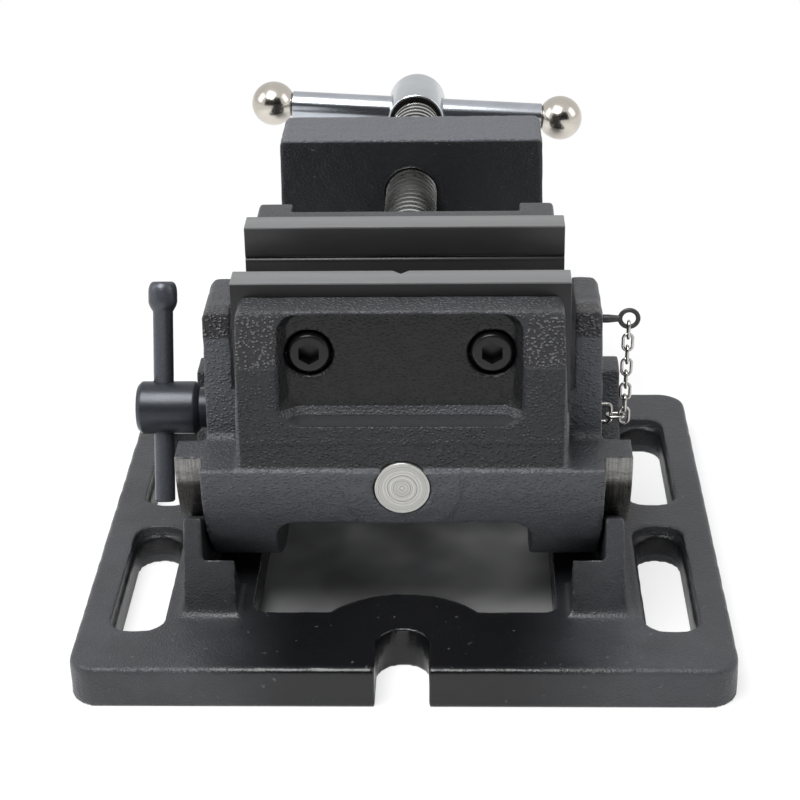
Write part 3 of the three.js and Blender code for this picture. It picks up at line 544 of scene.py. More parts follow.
def zone(sheet, most=None, **limits):
    """Masks what lies inside all of the limits, where most is the mask's highest value.

    x, side (the distance from the middle), y, z, tilt and screw (the radii about those axes) each take a low, a high
    and, unless it is 0.3, the half width of the soft edge, in millimetres.
    """
    x, y, z = sheet.xyz()
    masks = [most] if most else []
    for name, limit in limits.items():
        if name == "side":
            value = sheet.math("ABSOLUTE", x)
        elif name == "tilt":
            value = sheet.radius(y, z, TILT_CENTRE.y, TILT_CENTRE.z)
        elif name == "screw":
            value = sheet.radius(x, z, SCREW_CENTRE.x, SCREW_CENTRE.z)
        else:
            value = {"x": x, "y": y, "z": z}[name]
        masks.append(between(sheet, value, *limit))
    return sheet.times(*masks)


def cast_iron(name, settings, bare=None, rough=None, painted_tones=(), depth=0.1, grit=1.0, seed=0.0, stretch=(1, 1, 1)):
    """Painted cast iron.

    bare and rough mask machined faces and coarse skin. bare also says how much of the machined faces is painted
    darker as shade, and on the coarse skin the bump tops are painted light as glints and the roots dark as shade.
    The tones are zones painted lighter or darker as light and shade, and proud edges are painted light as highlight
    and worn paint. depth is the relief of the blobs, and grit scales the relief of the whole skin. seed shifts the
    pattern.
    """
    material, sheet, shader = new_material(name, 0.42, 0.0, 0.37)
    vector = sheet.place(scale=stretch, shift=(seed, seed, seed))
    skin = sheet.group("skin", Vector=vector, Grain=1 / settings.grain)
    blobs, fine = skin["Blobs"], skin["Fine"]
    smudge = sheet.group("smudge", Vector=vector, Scale=45.0, Amount=0.12)
    cloudy = sheet.ramp(skin["Cloud"], 0.38, 0.66, 0.0, 0.45)
    colour = sheet.mix(cloudy, tinted(settings.paint), tinted(settings.paint, 1.7))
    roughness = sheet.math("ADD", 0.37, smudge["Gloss"])
    pointed = sheet.add("ShaderNodeNewGeometry").outputs["Pointiness"]
    highlight_and_wear = sheet.group("edge", Vector=vector, Pointiness=pointed)["HighlightAndWear"]
    # Edges that stand proud are painted light, as highlight and as worn paint
    colour = sheet.mix(sheet.times(highlight_and_wear, 0.8), colour, EDGE_HIGHLIGHT_AND_WEAR)
    relief = grit
    # Each tone's zone is painted lighter or darker, as painted light and shade
    for limits, share, gloss, flat in painted_tones:
        area = zone(sheet, **limits)
        colour = sheet.mix(area, colour, tinted(settings.paint, share))
        roughness = sheet.blend(area, roughness, gloss)
        relief = sheet.times(relief, sheet.blend(area, 1.0, flat))
    colour = sheet.mix(sheet.times(smudge["Spots"], 0.25), colour, SPECK)
    if rough:
        coarse = rough(sheet)
        depth = sheet.blend(coarse, depth, 0.75)
        # On the coarse skin the bump tops are painted light as glints and the roots between them dark as shade
        glinting_tops = sheet.times(blobs, sheet.ramp(fine, 0.3, 0.5, 0.62, 1.0))
        colour = sheet.mix(coarse, colour, sheet.mix(glinting_tops, PEBBLE_ROOT_SHADE, PEBBLE_TOP_GLINT))
        roughness = sheet.blend(coarse, roughness, 0.33)
    height = sheet.math("MULTIPLY_ADD", fine, 0.24, sheet.times(blobs, depth))
    height = sheet.math("MULTIPLY_ADD", skin["Waves"], 0.3, height)
    height = sheet.times(height, relief, MM)
    if bare:
        mask, shade_share = bare(sheet)
        grind = sheet.group("grind", Vector=sheet.place(scale=(1, 0.06, 0.06)), Lines=1400.0)
        marks = sheet.ramp(grind["Marks"], 0.38, 0.62)
        bright = sheet.mix(marks, RAIL_MARK, tinted(settings.bare))
        # The lower part of the rails, which curves away below, is painted darker as shade
        metal = sheet.mix(shade_share, bright, sheet.mix(marks, RAIL_SHADE, RAIL_SHADE_MARK))
        colour = sheet.mix(mask, colour, metal)
        roughness = sheet.blend(mask, roughness, 0.45)
        sheet.feed(shader.inputs["Metallic"], sheet.times(mask, 0.75))
        height = sheet.times(height, sheet.blend(mask, 1.0, 0.3))
    sheet.dress(shader, colour, roughness, height, 1.0)
    return material


def brushed(name, colour, roughness, stretch, lines, shaded_hollow=None):
    """Ground or turned steel. stretch squeezes the marks along the axes where it is small. The optional zone is
    painted dark as shade.
    """
    material, sheet, shader = new_material(name, roughness, 1.0)
    grind = sheet.group("grind", Vector=sheet.place(scale=stretch), Lines=lines)
    smudge = sheet.group("smudge", Vector=sheet.place(), Scale=55.0, Amount=0.12)
    marks, deep = grind["Marks"], tinted(colour, 0.6)
    tone = sheet.mix(marks, deep, tinted(colour))
    tone = sheet.mix(sheet.ramp(grind["Tone"], 0.38, 0.66, 0.0, 0.35), tone, deep)
    if shaded_hollow:
        # The zone is painted dark as shade
        tone = sheet.mix(zone(sheet, **shaded_hollow), tone, THREAD_ROOT_SHADE)
    gloss = sheet.math("MULTIPLY_ADD", marks, 0.14, roughness - 0.07)
    gloss = sheet.math("ADD", gloss, smudge["Gloss"])
    sheet.dress(shader, tone, gloss, sheet.times(marks, 0.012 * MM))
    return material


def plated(name, colour, roughness, film=0.06, dark=None):
    """Bright plating with a faint haze. dark is a zone painted dark as shade and as a dark reflection."""
    material, sheet, shader = new_material(name, roughness, 1.0)
    smudge = sheet.group("smudge", Vector=sheet.place(), Scale=80.0, Amount=film)
    haze = sheet.ramp(smudge["Gloss"], -0.02, 0.03)
    tone = sheet.mix(haze, tinted(colour), tinted(colour, 0.82))
    gloss = sheet.math("ADD", roughness, smudge["Gloss"], clamp=True)
    if dark:
        # The dark zone is painted dark as shade and as a dark reflection
        area = zone(sheet, **dark)
        tone = sheet.mix(area, tone, HEAD_FACE_SHADE)
        gloss = sheet.blend(area, gloss, 0.5)
    wave = sheet.noise(sheet.place(), 260.0, 2.0, 0.5)
    sheet.dress(shader, tone, gloss, sheet.times(wave, 0.02 * MM), 0.6)
    return material


def plate_steel(name, colour, top, sides, shine, groove=None):
    """A jaw plate: a ground top edge at Z = top painted light, hardened sides painted darker as shade, and a groove at
    Z = groove painted dark as shade.
    """
    material, sheet, shader = new_material(name, 0.34, 0.9)
    grind = sheet.group("grind", Vector=sheet.place(scale=(0.03, 1, 1)), Lines=2600.0)
    smudge = sheet.group("smudge", Vector=sheet.place(), Scale=60.0, Amount=0.16)
    marks = grind["Marks"]
    # The top face is painted light and the sides darker, as painted light and shade
    light = zone(sheet, z=(top / MM - 0.45, None, 0.15))
    bright = sheet.mix(marks, tinted(colour, 0.72), tinted(colour))
    tone = sheet.mix(light, sheet.mix(marks, tinted(sides, 0.8), tinted(sides)), bright)
    if groove:
        # The groove is painted dark as shade
        shaded_hollow = zone(sheet, z=(groove / MM - 1.3, groove / MM + 1.3, 0.1))
        tone = sheet.mix(shaded_hollow, tone, tinted(sides, 0.6))
    sheet.feed(shader.inputs["Metallic"], sheet.blend(light, shine, 0.9))
    gloss = sheet.math("ADD", sheet.math("MULTIPLY_ADD", marks, 0.2, 0.26), smudge["Gloss"])
    sheet.dress(shader, tone, gloss, sheet.times(marks, 0.012 * MM))
    return material


def rod_steel(name, colour, centre, front):
    """Turned bar: bright, with rings on its faced end at Y = front."""
    material, sheet, shader = new_material(name, 0.32, 0.95)
    x, y, z = sheet.xyz()
    wobble = sheet.noise(sheet.place(), 220.0, 2.0, 0.5)
    ringed = sheet.math("MULTIPLY_ADD", wobble, 0.8 * MM, sheet.radius(x, z, centre.x, centre.z))
    combine = sheet.add("ShaderNodeCombineXYZ")
    sheet.feed(combine.inputs[0], ringed)
    rings = sheet.noise(combine.outputs[0], 2200.0, 3.0, 0.7)
    end = between(sheet, y, None, front / MM + 0.4, 0.2)
    marks = sheet.noise(sheet.place(scale=(0.05, 1, 0.05)), 2400.0, 3.0, 0.6)
    mixed = sheet.blend(end, marks, rings)
    tone = sheet.mix(sheet.ramp(mixed, 0.38, 0.6), tinted(colour, 0.4), tinted(colour))
    patches = sheet.noise(sheet.place(), 330.0, 3.0, 0.6)
    tone = sheet.mix(sheet.ramp(patches, 0.5, 0.66, 0.0, 0.6), tone, tinted(colour, 0.7))
    gloss = sheet.math("MULTIPLY_ADD", mixed, 0.25, 0.3)
    sheet.dress(shader, tone, gloss, sheet.times(mixed, 0.03 * MM), 0.9)
    return material


def oxide(name, colour=(0.05, 0.054, 0.064), roughness=0.33):
    """Black oxide on steel, rubbed a little lighter."""
    material, sheet, shader = new_material(name, roughness, 0.35)
    smudge = sheet.group("smudge", Vector=sheet.place(), Scale=110.0, Amount=0.2)
    skin = sheet.group("skin", Vector=sheet.place(), Grain=1500.0)
    worn = sheet.times(skin["Blobs"], 0.35)
    tone = sheet.mix(worn, tinted(colour), tinted(colour, 1.9))
    gloss = sheet.math("ADD", roughness, smudge["Gloss"])
    sheet.dress(shader, tone, gloss, sheet.times(skin["Fine"], 0.02 * MM))
    return material


# The castings
def casting_copy(name, node, voxel, rounds=3):
    """A casting with soft edges: the CAD node's form, remeshed finely and smoothed."""
    mesh = frame["nodes"][node].data.copy()
    piece = bpy.data.objects.new(name, mesh)
    bpy.context.scene.collection.objects.link(piece)
    mesh.materials.clear()
    mend(piece, 1e-5)
    modify(piece, "REMESH", mode="VOXEL", voxel_size=voxel, adaptivity=0.0)
    modify(piece, "SMOOTH", factor=0.5, iterations=rounds)
    return piece


def true_round(piece, radius, inner=0.0, outer=1000.0, reach=0.3):
    """Puts the vertices of a facetted round face back on their radius about the tilt axis, all in millimetres."""
    points, normals = points_of(piece), points_of(piece, "normal")
    spokes = points[:, 1:] - np.array(TILT_CENTRE)[1:]
    lengths = np.linalg.norm(spokes, axis=1)
    outward = spokes / np.maximum(lengths, 1e-9)[:, None]
    facing = np.abs((normals[:, 1:] * outward).sum(1))
    side = np.abs(points[:, 0])
    on_face = (np.abs(lengths - radius * MM) < reach * MM) & (facing > 0.97)
    on_face &= (side > inner * MM) & (side < outer * MM)
    points[on_face, 1:] = np.array(TILT_CENTRE)[1:] + outward[on_face] * (radius * MM)
    put_points(piece, points)


def roughen(piece, depth, size, keep, waves=24):
    """Moves the skin along its normals by a smooth noise, apart from the faces that keep() names."""
    points, normals = points_of(piece), points_of(piece, "normal")
    height = np.zeros(len(points))
    random = np.random.default_rng(7)
    for wave in range(waves):
        direction = random.normal(size=3)
        direction /= np.linalg.norm(direction)
        length = size * random.uniform(0.7, 2.2)
        height += np.sin(points @ direction * (2 * math.pi / length) + random.uniform(0, 2 * math.pi))
    height *= depth / math.sqrt(waves / 2)
    height[keep(points, normals)] = 0
    put_points(piece, points + normals * np.minimum(height, depth)[:, None])


def hold_in_box(piece, node):
    """Keeps a piece inside the box of the node that it stands for."""
    low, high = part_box(node)
    put_points(piece, np.clip(points_of(piece), np.array(low), np.array(high)))


def hollow_pocket_foot(piece):
    """Turns the pocket's straight foot slope into a ledge that curves up to the floor."""
    points, normals = points_of(piece), points_of(piece, "normal")
    front, floor = (JAW_FRONT + 0.26) * MM, (JAW_FRONT + 5) * MM
    low, high, half, curve = POCKET_FOOT * MM, POCKET_FLOOR * MM, 34 * MM, 2.4
    share = (points[:, 1] - front) / (floor - front)
    slope = low + (high - low) * share
    side = np.abs(points[:, 0])
    chosen = (share > 0.02) & (share < 1) & (np.abs(points[:, 2] - slope) < 1 * MM)
    chosen &= (side < half) & (normals[:, 2] > 0.2)
    fade = np.clip((half - side[chosen]) / (4 * MM), 0, 1)
    curved = low + (high - low) * share[chosen] ** curve
    points[chosen, 2] += (curved - slope[chosen]) * fade
    put_points(piece, points)


def machined_body(points, normals):
    """The faces of the vise body that stay true: the rails and the bed."""
    side = np.abs(points[:, 0])
    lengths = np.linalg.norm(points[:, 1:] - np.array(TILT_CENTRE)[1:], axis=1)
    rail = (np.abs(lengths - RAIL_RADIUS * MM) < 0.5 * MM) & (side > 60 * MM)
    way = (np.abs(points[:, 2] - BED_HEIGHT * MM) < 1.2 * MM) & (side < 47 * MM)
    return rail | way


def machined_base(points, normals):
    """The faces of the base that stay true: the underside and the seats."""
    height, underside, seat_low, seat_high = points[:, 2], 1 * MM, 12 * MM, 13.2 * MM
    return (height < underside) | (height > seat_low) & (normals[:, 2] > 0.9) & (height < seat_high)


def bare_rails(sheet):
    """Masks the turned face of the arc rails and the top of the bed, and says where the rails' lower part is painted
    darker as shade.
    """
    shaded_below = sheet.ramp(sheet.xyz()[2], (PIVOT_HEIGHT - 9.5) * MM, (PIVOT_HEIGHT - 6) * MM, 1.0, 0.0)
    return sheet.math("MAXIMUM", zone(sheet, **RAILS), zone(sheet, **BED)), shaded_below


def bare_base(sheet):
    """Masks the machined underside and the turned seats of the base, and says how much of the rails' darker shade
    colour they take.
    """
    return sheet.math("MAXIMUM", zone(sheet, **UNDERSIDE), zone(sheet, **SEATS)), 0.3


def rough_front(sheet):
    """Masks the coarser skin above the mould's parting line, and leaves the pocket smooth."""
    fading = sheet.ramp(sheet.xyz()[2], 108 * MM, 110 * MM, 1.0, 0.3)
    return sheet.times(fading, zone(sheet, **HIGH_FRONT), sheet.math("SUBTRACT", 1.0, zone(sheet, **POCKET)))


class VISE_OT_castings(bpy.types.Operator):
    """Build the base, the vise body and the moving jaw as soft-edged castings"""

    bl_idname = "vise.castings"
    bl_label = "Castings"

    def execute(self, context):
        settings = context.scene.vise_castings
        waviness, shading, base_faces, body_faces = 0.05 * MM, 60, 0.45, 0.36
        base = casting_copy("base_casting", "base", settings.voxel)
        roughen(base, waviness, 7 * MM, machined_base)
        hold_in_box(base, "base")
        modify(base, "DECIMATE", ratio=base_faces)
        material = cast_iron("painted_base", settings, bare_base, None, BASE_PAINTED_SHADE, depth=0.16, grit=0.65, seed=0.3)
        finish_piece(base, "base", material, "base", shading)

        body = casting_copy("body_casting", "vise_body", settings.voxel)
        true_round(body, DRUM_RADIUS, outer=60)
        true_round(body, RAIL_RADIUS, inner=61)
        hollow_pocket_foot(body)
        roughen(body, waviness, 6 * MM, machined_body)
        hold_in_box(body, "vise_body")
        modify(body, "DECIMATE", ratio=body_faces)
        material = cast_iron(
            "painted_body", settings, bare_rails, rough_front, BODY_PAINTED_LIGHT_AND_SHADE, depth=0.22, seed=1.7, stretch=(0.7, 1, 1)
        )
        finish_piece(body, "vise_body", material, "vise_body", shading)

        jaw = casting_copy("moving_jaw_casting", "movable_jaw", settings.voxel * 0.9)
        material = cast_iron("painted_jaw", settings, depth=0.12, grit=0.7, seed=2.9)
        finish_piece(jaw, "movable_jaw", material, "movable_jaw", shading)
        return {"FINISHED"}


class VISE_OT_jaw_plates(bpy.types.Operator):
    """Build the two ground jaw plates with their grooves"""

    bl_idname = "vise.jaw_plates"
    bl_label = "Jaw plates"

    def execute(self, context):
        settings = context.scene.vise_plates
        # The second colour of each plate darkens its sides and groove as painted shade
        for node, name, body, fixed, sides, shine in (
            ("fixed_jaw_plate", "fixed_plate", "vise_body", True, (0.05, 0.049, 0.05), 0.9),
            ("movable_jaw_plate", "moving_plate", "movable_jaw", False, (0.04, 0.039, 0.039), 0.3),
        ):
            low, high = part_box(node)
            plate = cube(name, low, high)
            grip = high.y if fixed else low.y
            level = None if fixed else high.z - settings.groove_drop
            side = (settings.groove if fixed else settings.level_groove) * math.sqrt(2) / 2
            tool = cube("groove", (-1, -side, -side), (1, side, side))
            turn = Matrix.Rotation(math.pi / 4, 4, "X")
            if fixed:
                turn = Matrix.Rotation(math.pi / 2, 4, "Y") @ turn
            place(tool, Matrix.Translation((0, grip, level or 0)) @ turn)
            cut(plate, tool)
            bevel(plate, settings.edge, 2)
            material = plate_steel(f"{name}_steel", settings.steel, high.z, sides, shine, level)
            finish_piece(plate, body, material, node, 30)
        return {"FINISHED"}


def cap_bolt(name, node, direction):
    """A socket head bolt: a knurled head with a hex socket, and its shank."""
    low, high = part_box(node)
    centre = middle(node)
    head_radius, length = (high.x - low.x) / 2, high.y - low.y
    start = Vector((centre.x, low.y if direction > 0 else high.y, centre.z))
    head_high, shank, socket, across_flats, teeth = 5 * MM, 4 * MM, 4 * MM, 6 * MM, 96
    crown, knurl_depth = 1.5 * MM, 0.16 * MM
    face = [(0, 2 * MM), (0, head_radius - 0.9 * MM), (crown, head_radius), (head_high, head_radius)]
    stem = [(head_high, head_radius - 0.5 * MM), (head_high, shank), (length, shank), (length, 0)]
    outline = [(0, 0)] + rounded(face, 0.7 * MM, 5) + rounded(stem, 0.4 * MM, 3)
    bolt = turned(name, outline, Y_AXIS * direction, start, teeth)
    points = points_of(bolt)
    spokes = points[:, [0, 2]] - np.array((start.x, start.z))
    lengths = np.linalg.norm(spokes, axis=1)
    turns = np.arctan2(spokes[:, 1], spokes[:, 0])
    knurl = (lengths > head_radius - 0.1 * MM) & (np.abs(points[:, 1] - start.y) > 1.6 * MM)
    dip = knurl_depth * (np.round(turns / (2 * math.pi) * teeth) % 2)
    scale = np.where(knurl, 1 - dip / np.maximum(lengths, 1e-9), 1.0)
    points[:, 0] = start.x + spokes[:, 0] * scale
    points[:, 2] = start.z + spokes[:, 1] * scale
    put_points(bolt, points)
    inward = Y_AXIS * direction
    cut(bolt, cylinder("hexagon", across_flats / math.sqrt(3), start - inward * MM, start + inward * socket, 6))
    return bolt


class VISE_OT_bolts(bpy.types.Operator):
    """Build the socket head bolts of the jaw plates"""

    bl_idname = "vise.bolts"
    bl_label = "Bolts"

    def execute(self, context):
        material = oxide("bolt_oxide", (0.007, 0.007, 0.008), 0.3)
        for side in SIDES:
            for kind, body, direction in (("fixed", "vise_body", 1), ("movable", "movable_jaw", -1)):
                node = f"{kind}_plate_bolt_{side}"
                bolt = cap_bolt(f"{kind}_bolt_{side}", node, direction)
                finish_piece(bolt, body, material, node)
        return {"FINISHED"}


class VISE_OT_guide_rod(bpy.types.Operator):
    """Build the guide rod with its faced end"""

    bl_idname = "vise.guide_rod"
    bl_label = "Guide rod"

    def execute(self, context):
        low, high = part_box("guide_rod")
        centre = middle("guide_rod")
        radius, length = (high.x - low.x) / 2, high.y - low.y
        dimple, edge = 0.12 * MM, 0.45 * MM
        outline = [(dimple, 0), (dimple, 0.7 * MM), (0, 1.1 * MM)]
        outline += rounded([(0, 1.2 * MM), (0, radius), (length, radius), (length, 0)], edge, 4)[1:]
        rod = turned("guide_bar", outline, Y_AXIS, Vector((centre.x, low.y, centre.z)), 128)
        material = rod_steel("turned_bar", (0.6, 0.595, 0.57), centre, low.y)
        finish_piece(rod, "vise_body", material, "guide_rod")
        return {"FINISHED"}


def thread_radius(phase, radius, depth):
    """The radius of a trapezoidal thread at a phase from 0 to 1 along its pitch."""
    crest, flank = 5 / 14, 2 / 14
    rise = np.clip(phase / flank, 0, 1)
    fall = np.clip((phase - flank - crest) / flank, 0, 1)
    return radius - depth * (1 - rise + fall)


class VISE_OT_lead_screw(bpy.types.Operator):
    """Build the lead screw with its cut thread, and its retaining pin"""

    bl_idname = "vise.lead_screw"
    bl_label = "Lead screw"

    def execute(self, context):
        settings = context.scene.vise_screw
        low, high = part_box("lead_screw")
        radius = (high.x - low.x) / 2
        jaw_gap, head_gap, journal, runout_length = 1.2 * MM, 0.4 * MM, 6 * MM, 2.5 * MM
        around, rows, merge_gap = 72, 14, 2e-6
        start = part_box("movable_jaw")[1].y + jaw_gap
        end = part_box("screw_head")[0].y - head_gap
        row = settings.pitch / rows
        along = math.ceil((end - start + settings.pitch) / row)
        grid = bpy.ops.mesh.primitive_grid_add
        screw = added("threaded_spindle", grid, x_subdivisions=around, y_subdivisions=along, size=1)
        points = points_of(screw)
        turns = (points[:, 0] + 0.5) * 2 * math.pi
        steps = np.round((points[:, 1] + 0.5) * along)
        radii = thread_radius((steps % rows) / rows, radius, settings.depth)
        places = np.clip(start + steps * row - settings.pitch * (points[:, 0] + 0.5), start, end)
        runout = np.clip(np.minimum(places - start, end - places) / runout_length, 0, 1)
        radii = (radius - settings.depth) * (1 - runout) + radii * runout
        put_points(screw, np.stack(
            [SCREW_CENTRE.x + radii * np.cos(turns), places, SCREW_CENTRE.z + radii * np.sin(turns)], axis=1
        ))
        mend(screw, merge_gap)
        edit(screw)
        bpy.ops.mesh.select_all(action="DESELECT")
        bpy.ops.mesh.select_non_manifold()
        bpy.ops.mesh.edge_face_add()
        close()
        mend(screw, merge_gap)
        ends = []
        for name, first, last in (("journal", low.y, start + MM), ("neck", end - MM, high.y)):
            part = cylinder(name, journal, (0, first, SCREW_CENTRE.z), (0, last, SCREW_CENTRE.z), 48)
            bevel(part, 0.4 * MM, 2)
            ends.append(part)
        pick(screw)
        for part in ends:
            part.select_set(True)
        bpy.ops.object.join()
        # The thread's flanks and roots are painted dark as shade
        thread_roots = {"screw": (None, radius / MM - 0.61, 0.49)}
        material = brushed("thread_steel", (0.78, 0.78, 0.76), 0.27, (0.05, 1, 0.05), 1500.0, thread_roots)
        finish_piece(screw, "lead_screw", material, "lead_screw", 32)

        low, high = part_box("screw_retaining_pin")
        centre = middle("screw_retaining_pin")
        size, length = (high.x - low.x) / 2, high.z - low.z
        outline = rounded([(0, 0), (0, size), (length, size), (length, 0)], 0.4 * MM, 3)
        pin = turned("cross_pin", outline, Z_AXIS, Vector((centre.x, centre.y, low.z)), 40)
        material = brushed("pin_steel", (0.4, 0.4, 0.39), 0.35, (1, 1, 0.1), 1800.0)
        finish_piece(pin, "movable_jaw", material, "screw_retaining_pin")
        return {"FINISHED"}


class VISE_OT_handle(bpy.types.Operator):
    """Build the chromed head, the sliding bar and its balls"""

    bl_idname = "vise.handle"
    bl_label = "Handle"

    def execute(self, context):
        settings = context.scene.vise_screw
        low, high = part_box("screw_head")
        radius, length = (high.x - low.x) / 2, high.y - low.y
        start = Vector((SCREW_CENTRE.x, low.y, SCREW_CENTRE.z))
        chamfer, play, neck_bore = 1.2 * MM, 0.3 * MM, 6.2 * MM
        outline = rounded(
            [(0, 0), (0, radius - 0.5 * MM), (0.5 * MM, radius), (length - chamfer, radius),
             (length, radius - chamfer), (length, 0)], 0.4 * MM,
        )
        head = turned("spindle_head", outline, Y_AXIS, start, 128)
        bar_middle = Vector((SCREW_CENTRE.x, (low.y + high.y) / 2, SCREW_CENTRE.z))
        bar, reach = settings.bar_radius, BAR_DIRECTION * radius * 1.5
        cut(head, cylinder("cross_hole", bar + play, bar_middle - reach, bar_middle + reach, 96))
        cut(head, cylinder("bore", neck_bore, start - Y_AXIS * MM, start + Y_AXIS * 8.2 * MM))
        bevel(head, 0.25 * MM, 2, 38)
        # The head's front face, towards the nut block, is painted dark as shade and as a dark reflection
        shaded_face = {"screw": (None, radius / MM - 0.9, 0.1), "y": (None, low.y / MM + 0.65, 0.15)}
        satin = plated("satin_chrome", (0.56, 0.585, 0.61), 0.22, dark=shaded_face)
        finish_piece(head, "lead_screw", satin, "screw_head")

        low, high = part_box("handle_bar")
        half = ((high.x - low.x) / BAR_DIRECTION.x) / 2
        shoulder, tip_radius = half - 7.3 * MM, 3.4 * MM
        side_line = [(shoulder, bar), (shoulder, tip_radius), (half, tip_radius), (half, 0)]
        mirrored = [(-along, across) for along, across in reversed(side_line)]
        rod = turned("sliding_bar", rounded(mirrored + side_line, 0.3 * MM, 3), BAR_DIRECTION, bar_middle, 64)
        chrome = plated("bright_chrome", (0.5, 0.53, 0.57), 0.24, 0.1)
        finish_piece(rod, "handle", chrome, "handle_bar")

        nickel = plated("ball_nickel", (0.62, 0.58, 0.52), 0.19)
        size, bore, bore_depth, steps = settings.ball_radius, 3.6 * MM, 8 * MM, 40
        mouth = math.acos((size - 0.5 * MM) / size)
        for side, sign in SIDES.items():
            arc = [math.pi - mouth - (math.pi - mouth) * step / steps for step in range(steps + 1)]
            ball_line = [(math.cos(angle) * size, math.sin(angle) * size) for angle in arc]
            front = ball_line[0][0]
            outline = [(front + bore_depth, 0), (front + bore_depth, bore), (front, bore)] + ball_line
            centre = bar_middle + BAR_DIRECTION * sign * (half + 0.2 * MM)
            ball = turned(f"bar_ball_{side}", outline, BAR_DIRECTION * sign, centre, 64)
            finish_piece(ball, "handle", nickel, f"handle_ball_{side}", 40)
        return {"FINISHED"}


class VISE_OT_lock(bpy.types.Operator):
    """Build the lock screw and its lever bar"""

    bl_idname = "vise.lock"
    bl_label = "Lock lever"

    def execute(self, context):
        settings = context.scene.vise_small
        low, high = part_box("lock_screw")
        radius = (high.z - low.z) / 2
        hub, neck_end, length = 19.8 * MM, 24.2 * MM, high.x - low.x
        chamfer, neck_radius, shank = 1.4 * MM, 6.4 * MM, 3.8 * MM
        outline = rounded(
            [(0, 0), (0, radius - chamfer), (chamfer, radius), (hub - chamfer, radius), (hub, radius - chamfer),
             (hub, neck_radius), (neck_end, neck_radius), (neck_end, shank), (length, shank), (length, 0)],
            0.5 * MM, 3,
        )
        screw = turned("lock_hub", outline, X_AXIS, Vector((low.x, LOCK_CENTRE.y, LOCK_CENTRE.z)))
        along = Matrix.Rotation(settings.lean, 3, "X") @ Z_AXIS
        bar_radius, reach = 3.2 * MM, along * radius * 1.5
        cut(screw, cylinder("bar_hole", bar_radius + 0.2 * MM, LOCK_CENTRE - reach, LOCK_CENTRE + reach, 48))
        finish_piece(screw, "lock_lever", oxide("hub_oxide", (0.022, 0.025, 0.032)), "lock_screw")

        down, up, knob, neck, crown = -30 * MM, 40 * MM, 4.6 * MM, 30.5 * MM, 36.6 * MM
        swelling = [
            (neck + 3.4 * MM * share, bar_radius + (knob - bar_radius) * math.sin(share * math.pi / 2))
            for share in (0, 0.15, 0.3, 0.5, 0.7, 0.85, 1)
        ]
        closing = [
            (crown + 3.4 * MM * math.sin(turn), knob - 1.7 * MM * (1 - math.cos(turn)))
            for turn in (0, 0.35, 0.7, 1.0, 1.3, 1.5)
        ]
        foot = [(down, 0), (down, bar_radius - 0.5 * MM), (down + 0.5 * MM, bar_radius)]
        outline = [*foot, *swelling, *closing, (up, 2.6 * MM), (up, 0)]
        bar = turned("lock_handle", outline, along, LOCK_CENTRE, 48)
        finish_piece(bar, "lock_lever", oxide("lever_oxide"), "lock_bar", 40)
        return {"FINISHED"}


def ring_link(name, length, width, wire):
    """A long wire ring that stands along Z, with its width along X."""
    link = torus(name, width / 2 - wire, wire, 32, 12)
    points = points_of(link)
    points[:, 2] += np.sign(points[:, 2]) * (length / 2 - width / 2)
    points[np.abs(points[:, 2]) < 1e-6, 2] = 0
    put_points(link, points)
    return link


class VISE_OT_chain(bpy.types.Operator):
    """Build the locating pin, its chain and the staple"""

    bl_idname = "vise.chain"
    bl_label = "Locating pin and chain"

    def execute(self, context):
        settings = context.scene.vise_small
        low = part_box("locating_pin")[0]
        shaft, tip, eye, hole, flat = 1.3 * MM, 0.9 * MM, 3.5 * MM, 2.0 * MM, 0.86
        neck = EYE_CENTRE.x - eye - 3 * MM - low.x
        outline = [(0, 0), (0, tip), (0.5 * MM, shaft), (neck, shaft), (neck + 4 * MM, tip), (neck + 4.5 * MM, 0)]
        pin = turned("locating_peg", outline, X_AXIS, Vector((low.x, EYE_CENTRE.y, EYE_CENTRE.z)), 32)
        ring = torus("eye", (eye + hole) / 2, (eye - hole) / 2, 48, 16)
        place(ring, Matrix.Translation(EYE_CENTRE) @ Matrix.Diagonal((1, flat, 1, 1)))
        cut(pin, ring, "UNION")
        modify(pin, "REMESH", mode="VOXEL", voxel_size=0.16 * MM, adaptivity=0.0)
        modify(pin, "SMOOTH", factor=0.5, iterations=8)
        material = oxide("peg_oxide", (0.035, 0.034, 0.034), 0.42)
        finish_piece(pin, "locating_pin", material, "locating_pin", 60)

        steel = plated("chain_nickel", (0.50, 0.485, 0.46), 0.24, 0.16)
        first, last = middle("chain_link_1"), middle("chain_link_8")
        leaning = Matrix.Rotation(math.atan2(first.x - last.x, first.z - last.z), 4, "Y")
        quarter = Matrix.Rotation(math.pi / 2, 4, "Z")
        links = [
            (f"ring_{number}", f"chain_link_{number}", "chain", leaning @ quarter if number % 2 else leaning)
            for number in range(1, 9)
        ]
        links.append(("ring_end", "chain_end_link", "vise_body", Matrix.Rotation(math.pi / 2, 4, "Y") @ quarter))
        link_length, link_width = 6.4 * MM, 3.9 * MM
        for name, node, body, turn in links:
            link = ring_link(name, link_length, link_width, settings.wire)
            place(link, Matrix.Translation(middle(node)) @ turn)
            finish_piece(link, body, steel, node, 60)

        low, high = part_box("chain_staple")
        thick = settings.staple_wire
        out, bottom, top = high.x - thick, low.z + thick, high.z - thick
        path = rounded([(low.x, bottom), (out, bottom), (out, top), (low.x, top)], 1.3 * MM, 5)
        staple = added("chain_clip", bpy.ops.curve.primitive_nurbs_path_add)
        staple.data.splines.clear()
        spline = staple.data.splines.new("POLY")
        spline.points.add(len(path) - 1)
        for point, (across, up) in zip(spline.points, path):
            point.co = (across, (low.y + high.y) / 2, up, 1)
        staple.data.bevel_depth = thick
        staple.data.bevel_resolution = 4
        staple.data.use_fill_caps = True
        pick(staple)
        bpy.ops.object.convert(target="MESH")
        staple = bpy.context.object
        mend(staple)
        finish_piece(staple, "vise_body", steel, "chain_staple", 50)
        return {"FINISHED"}


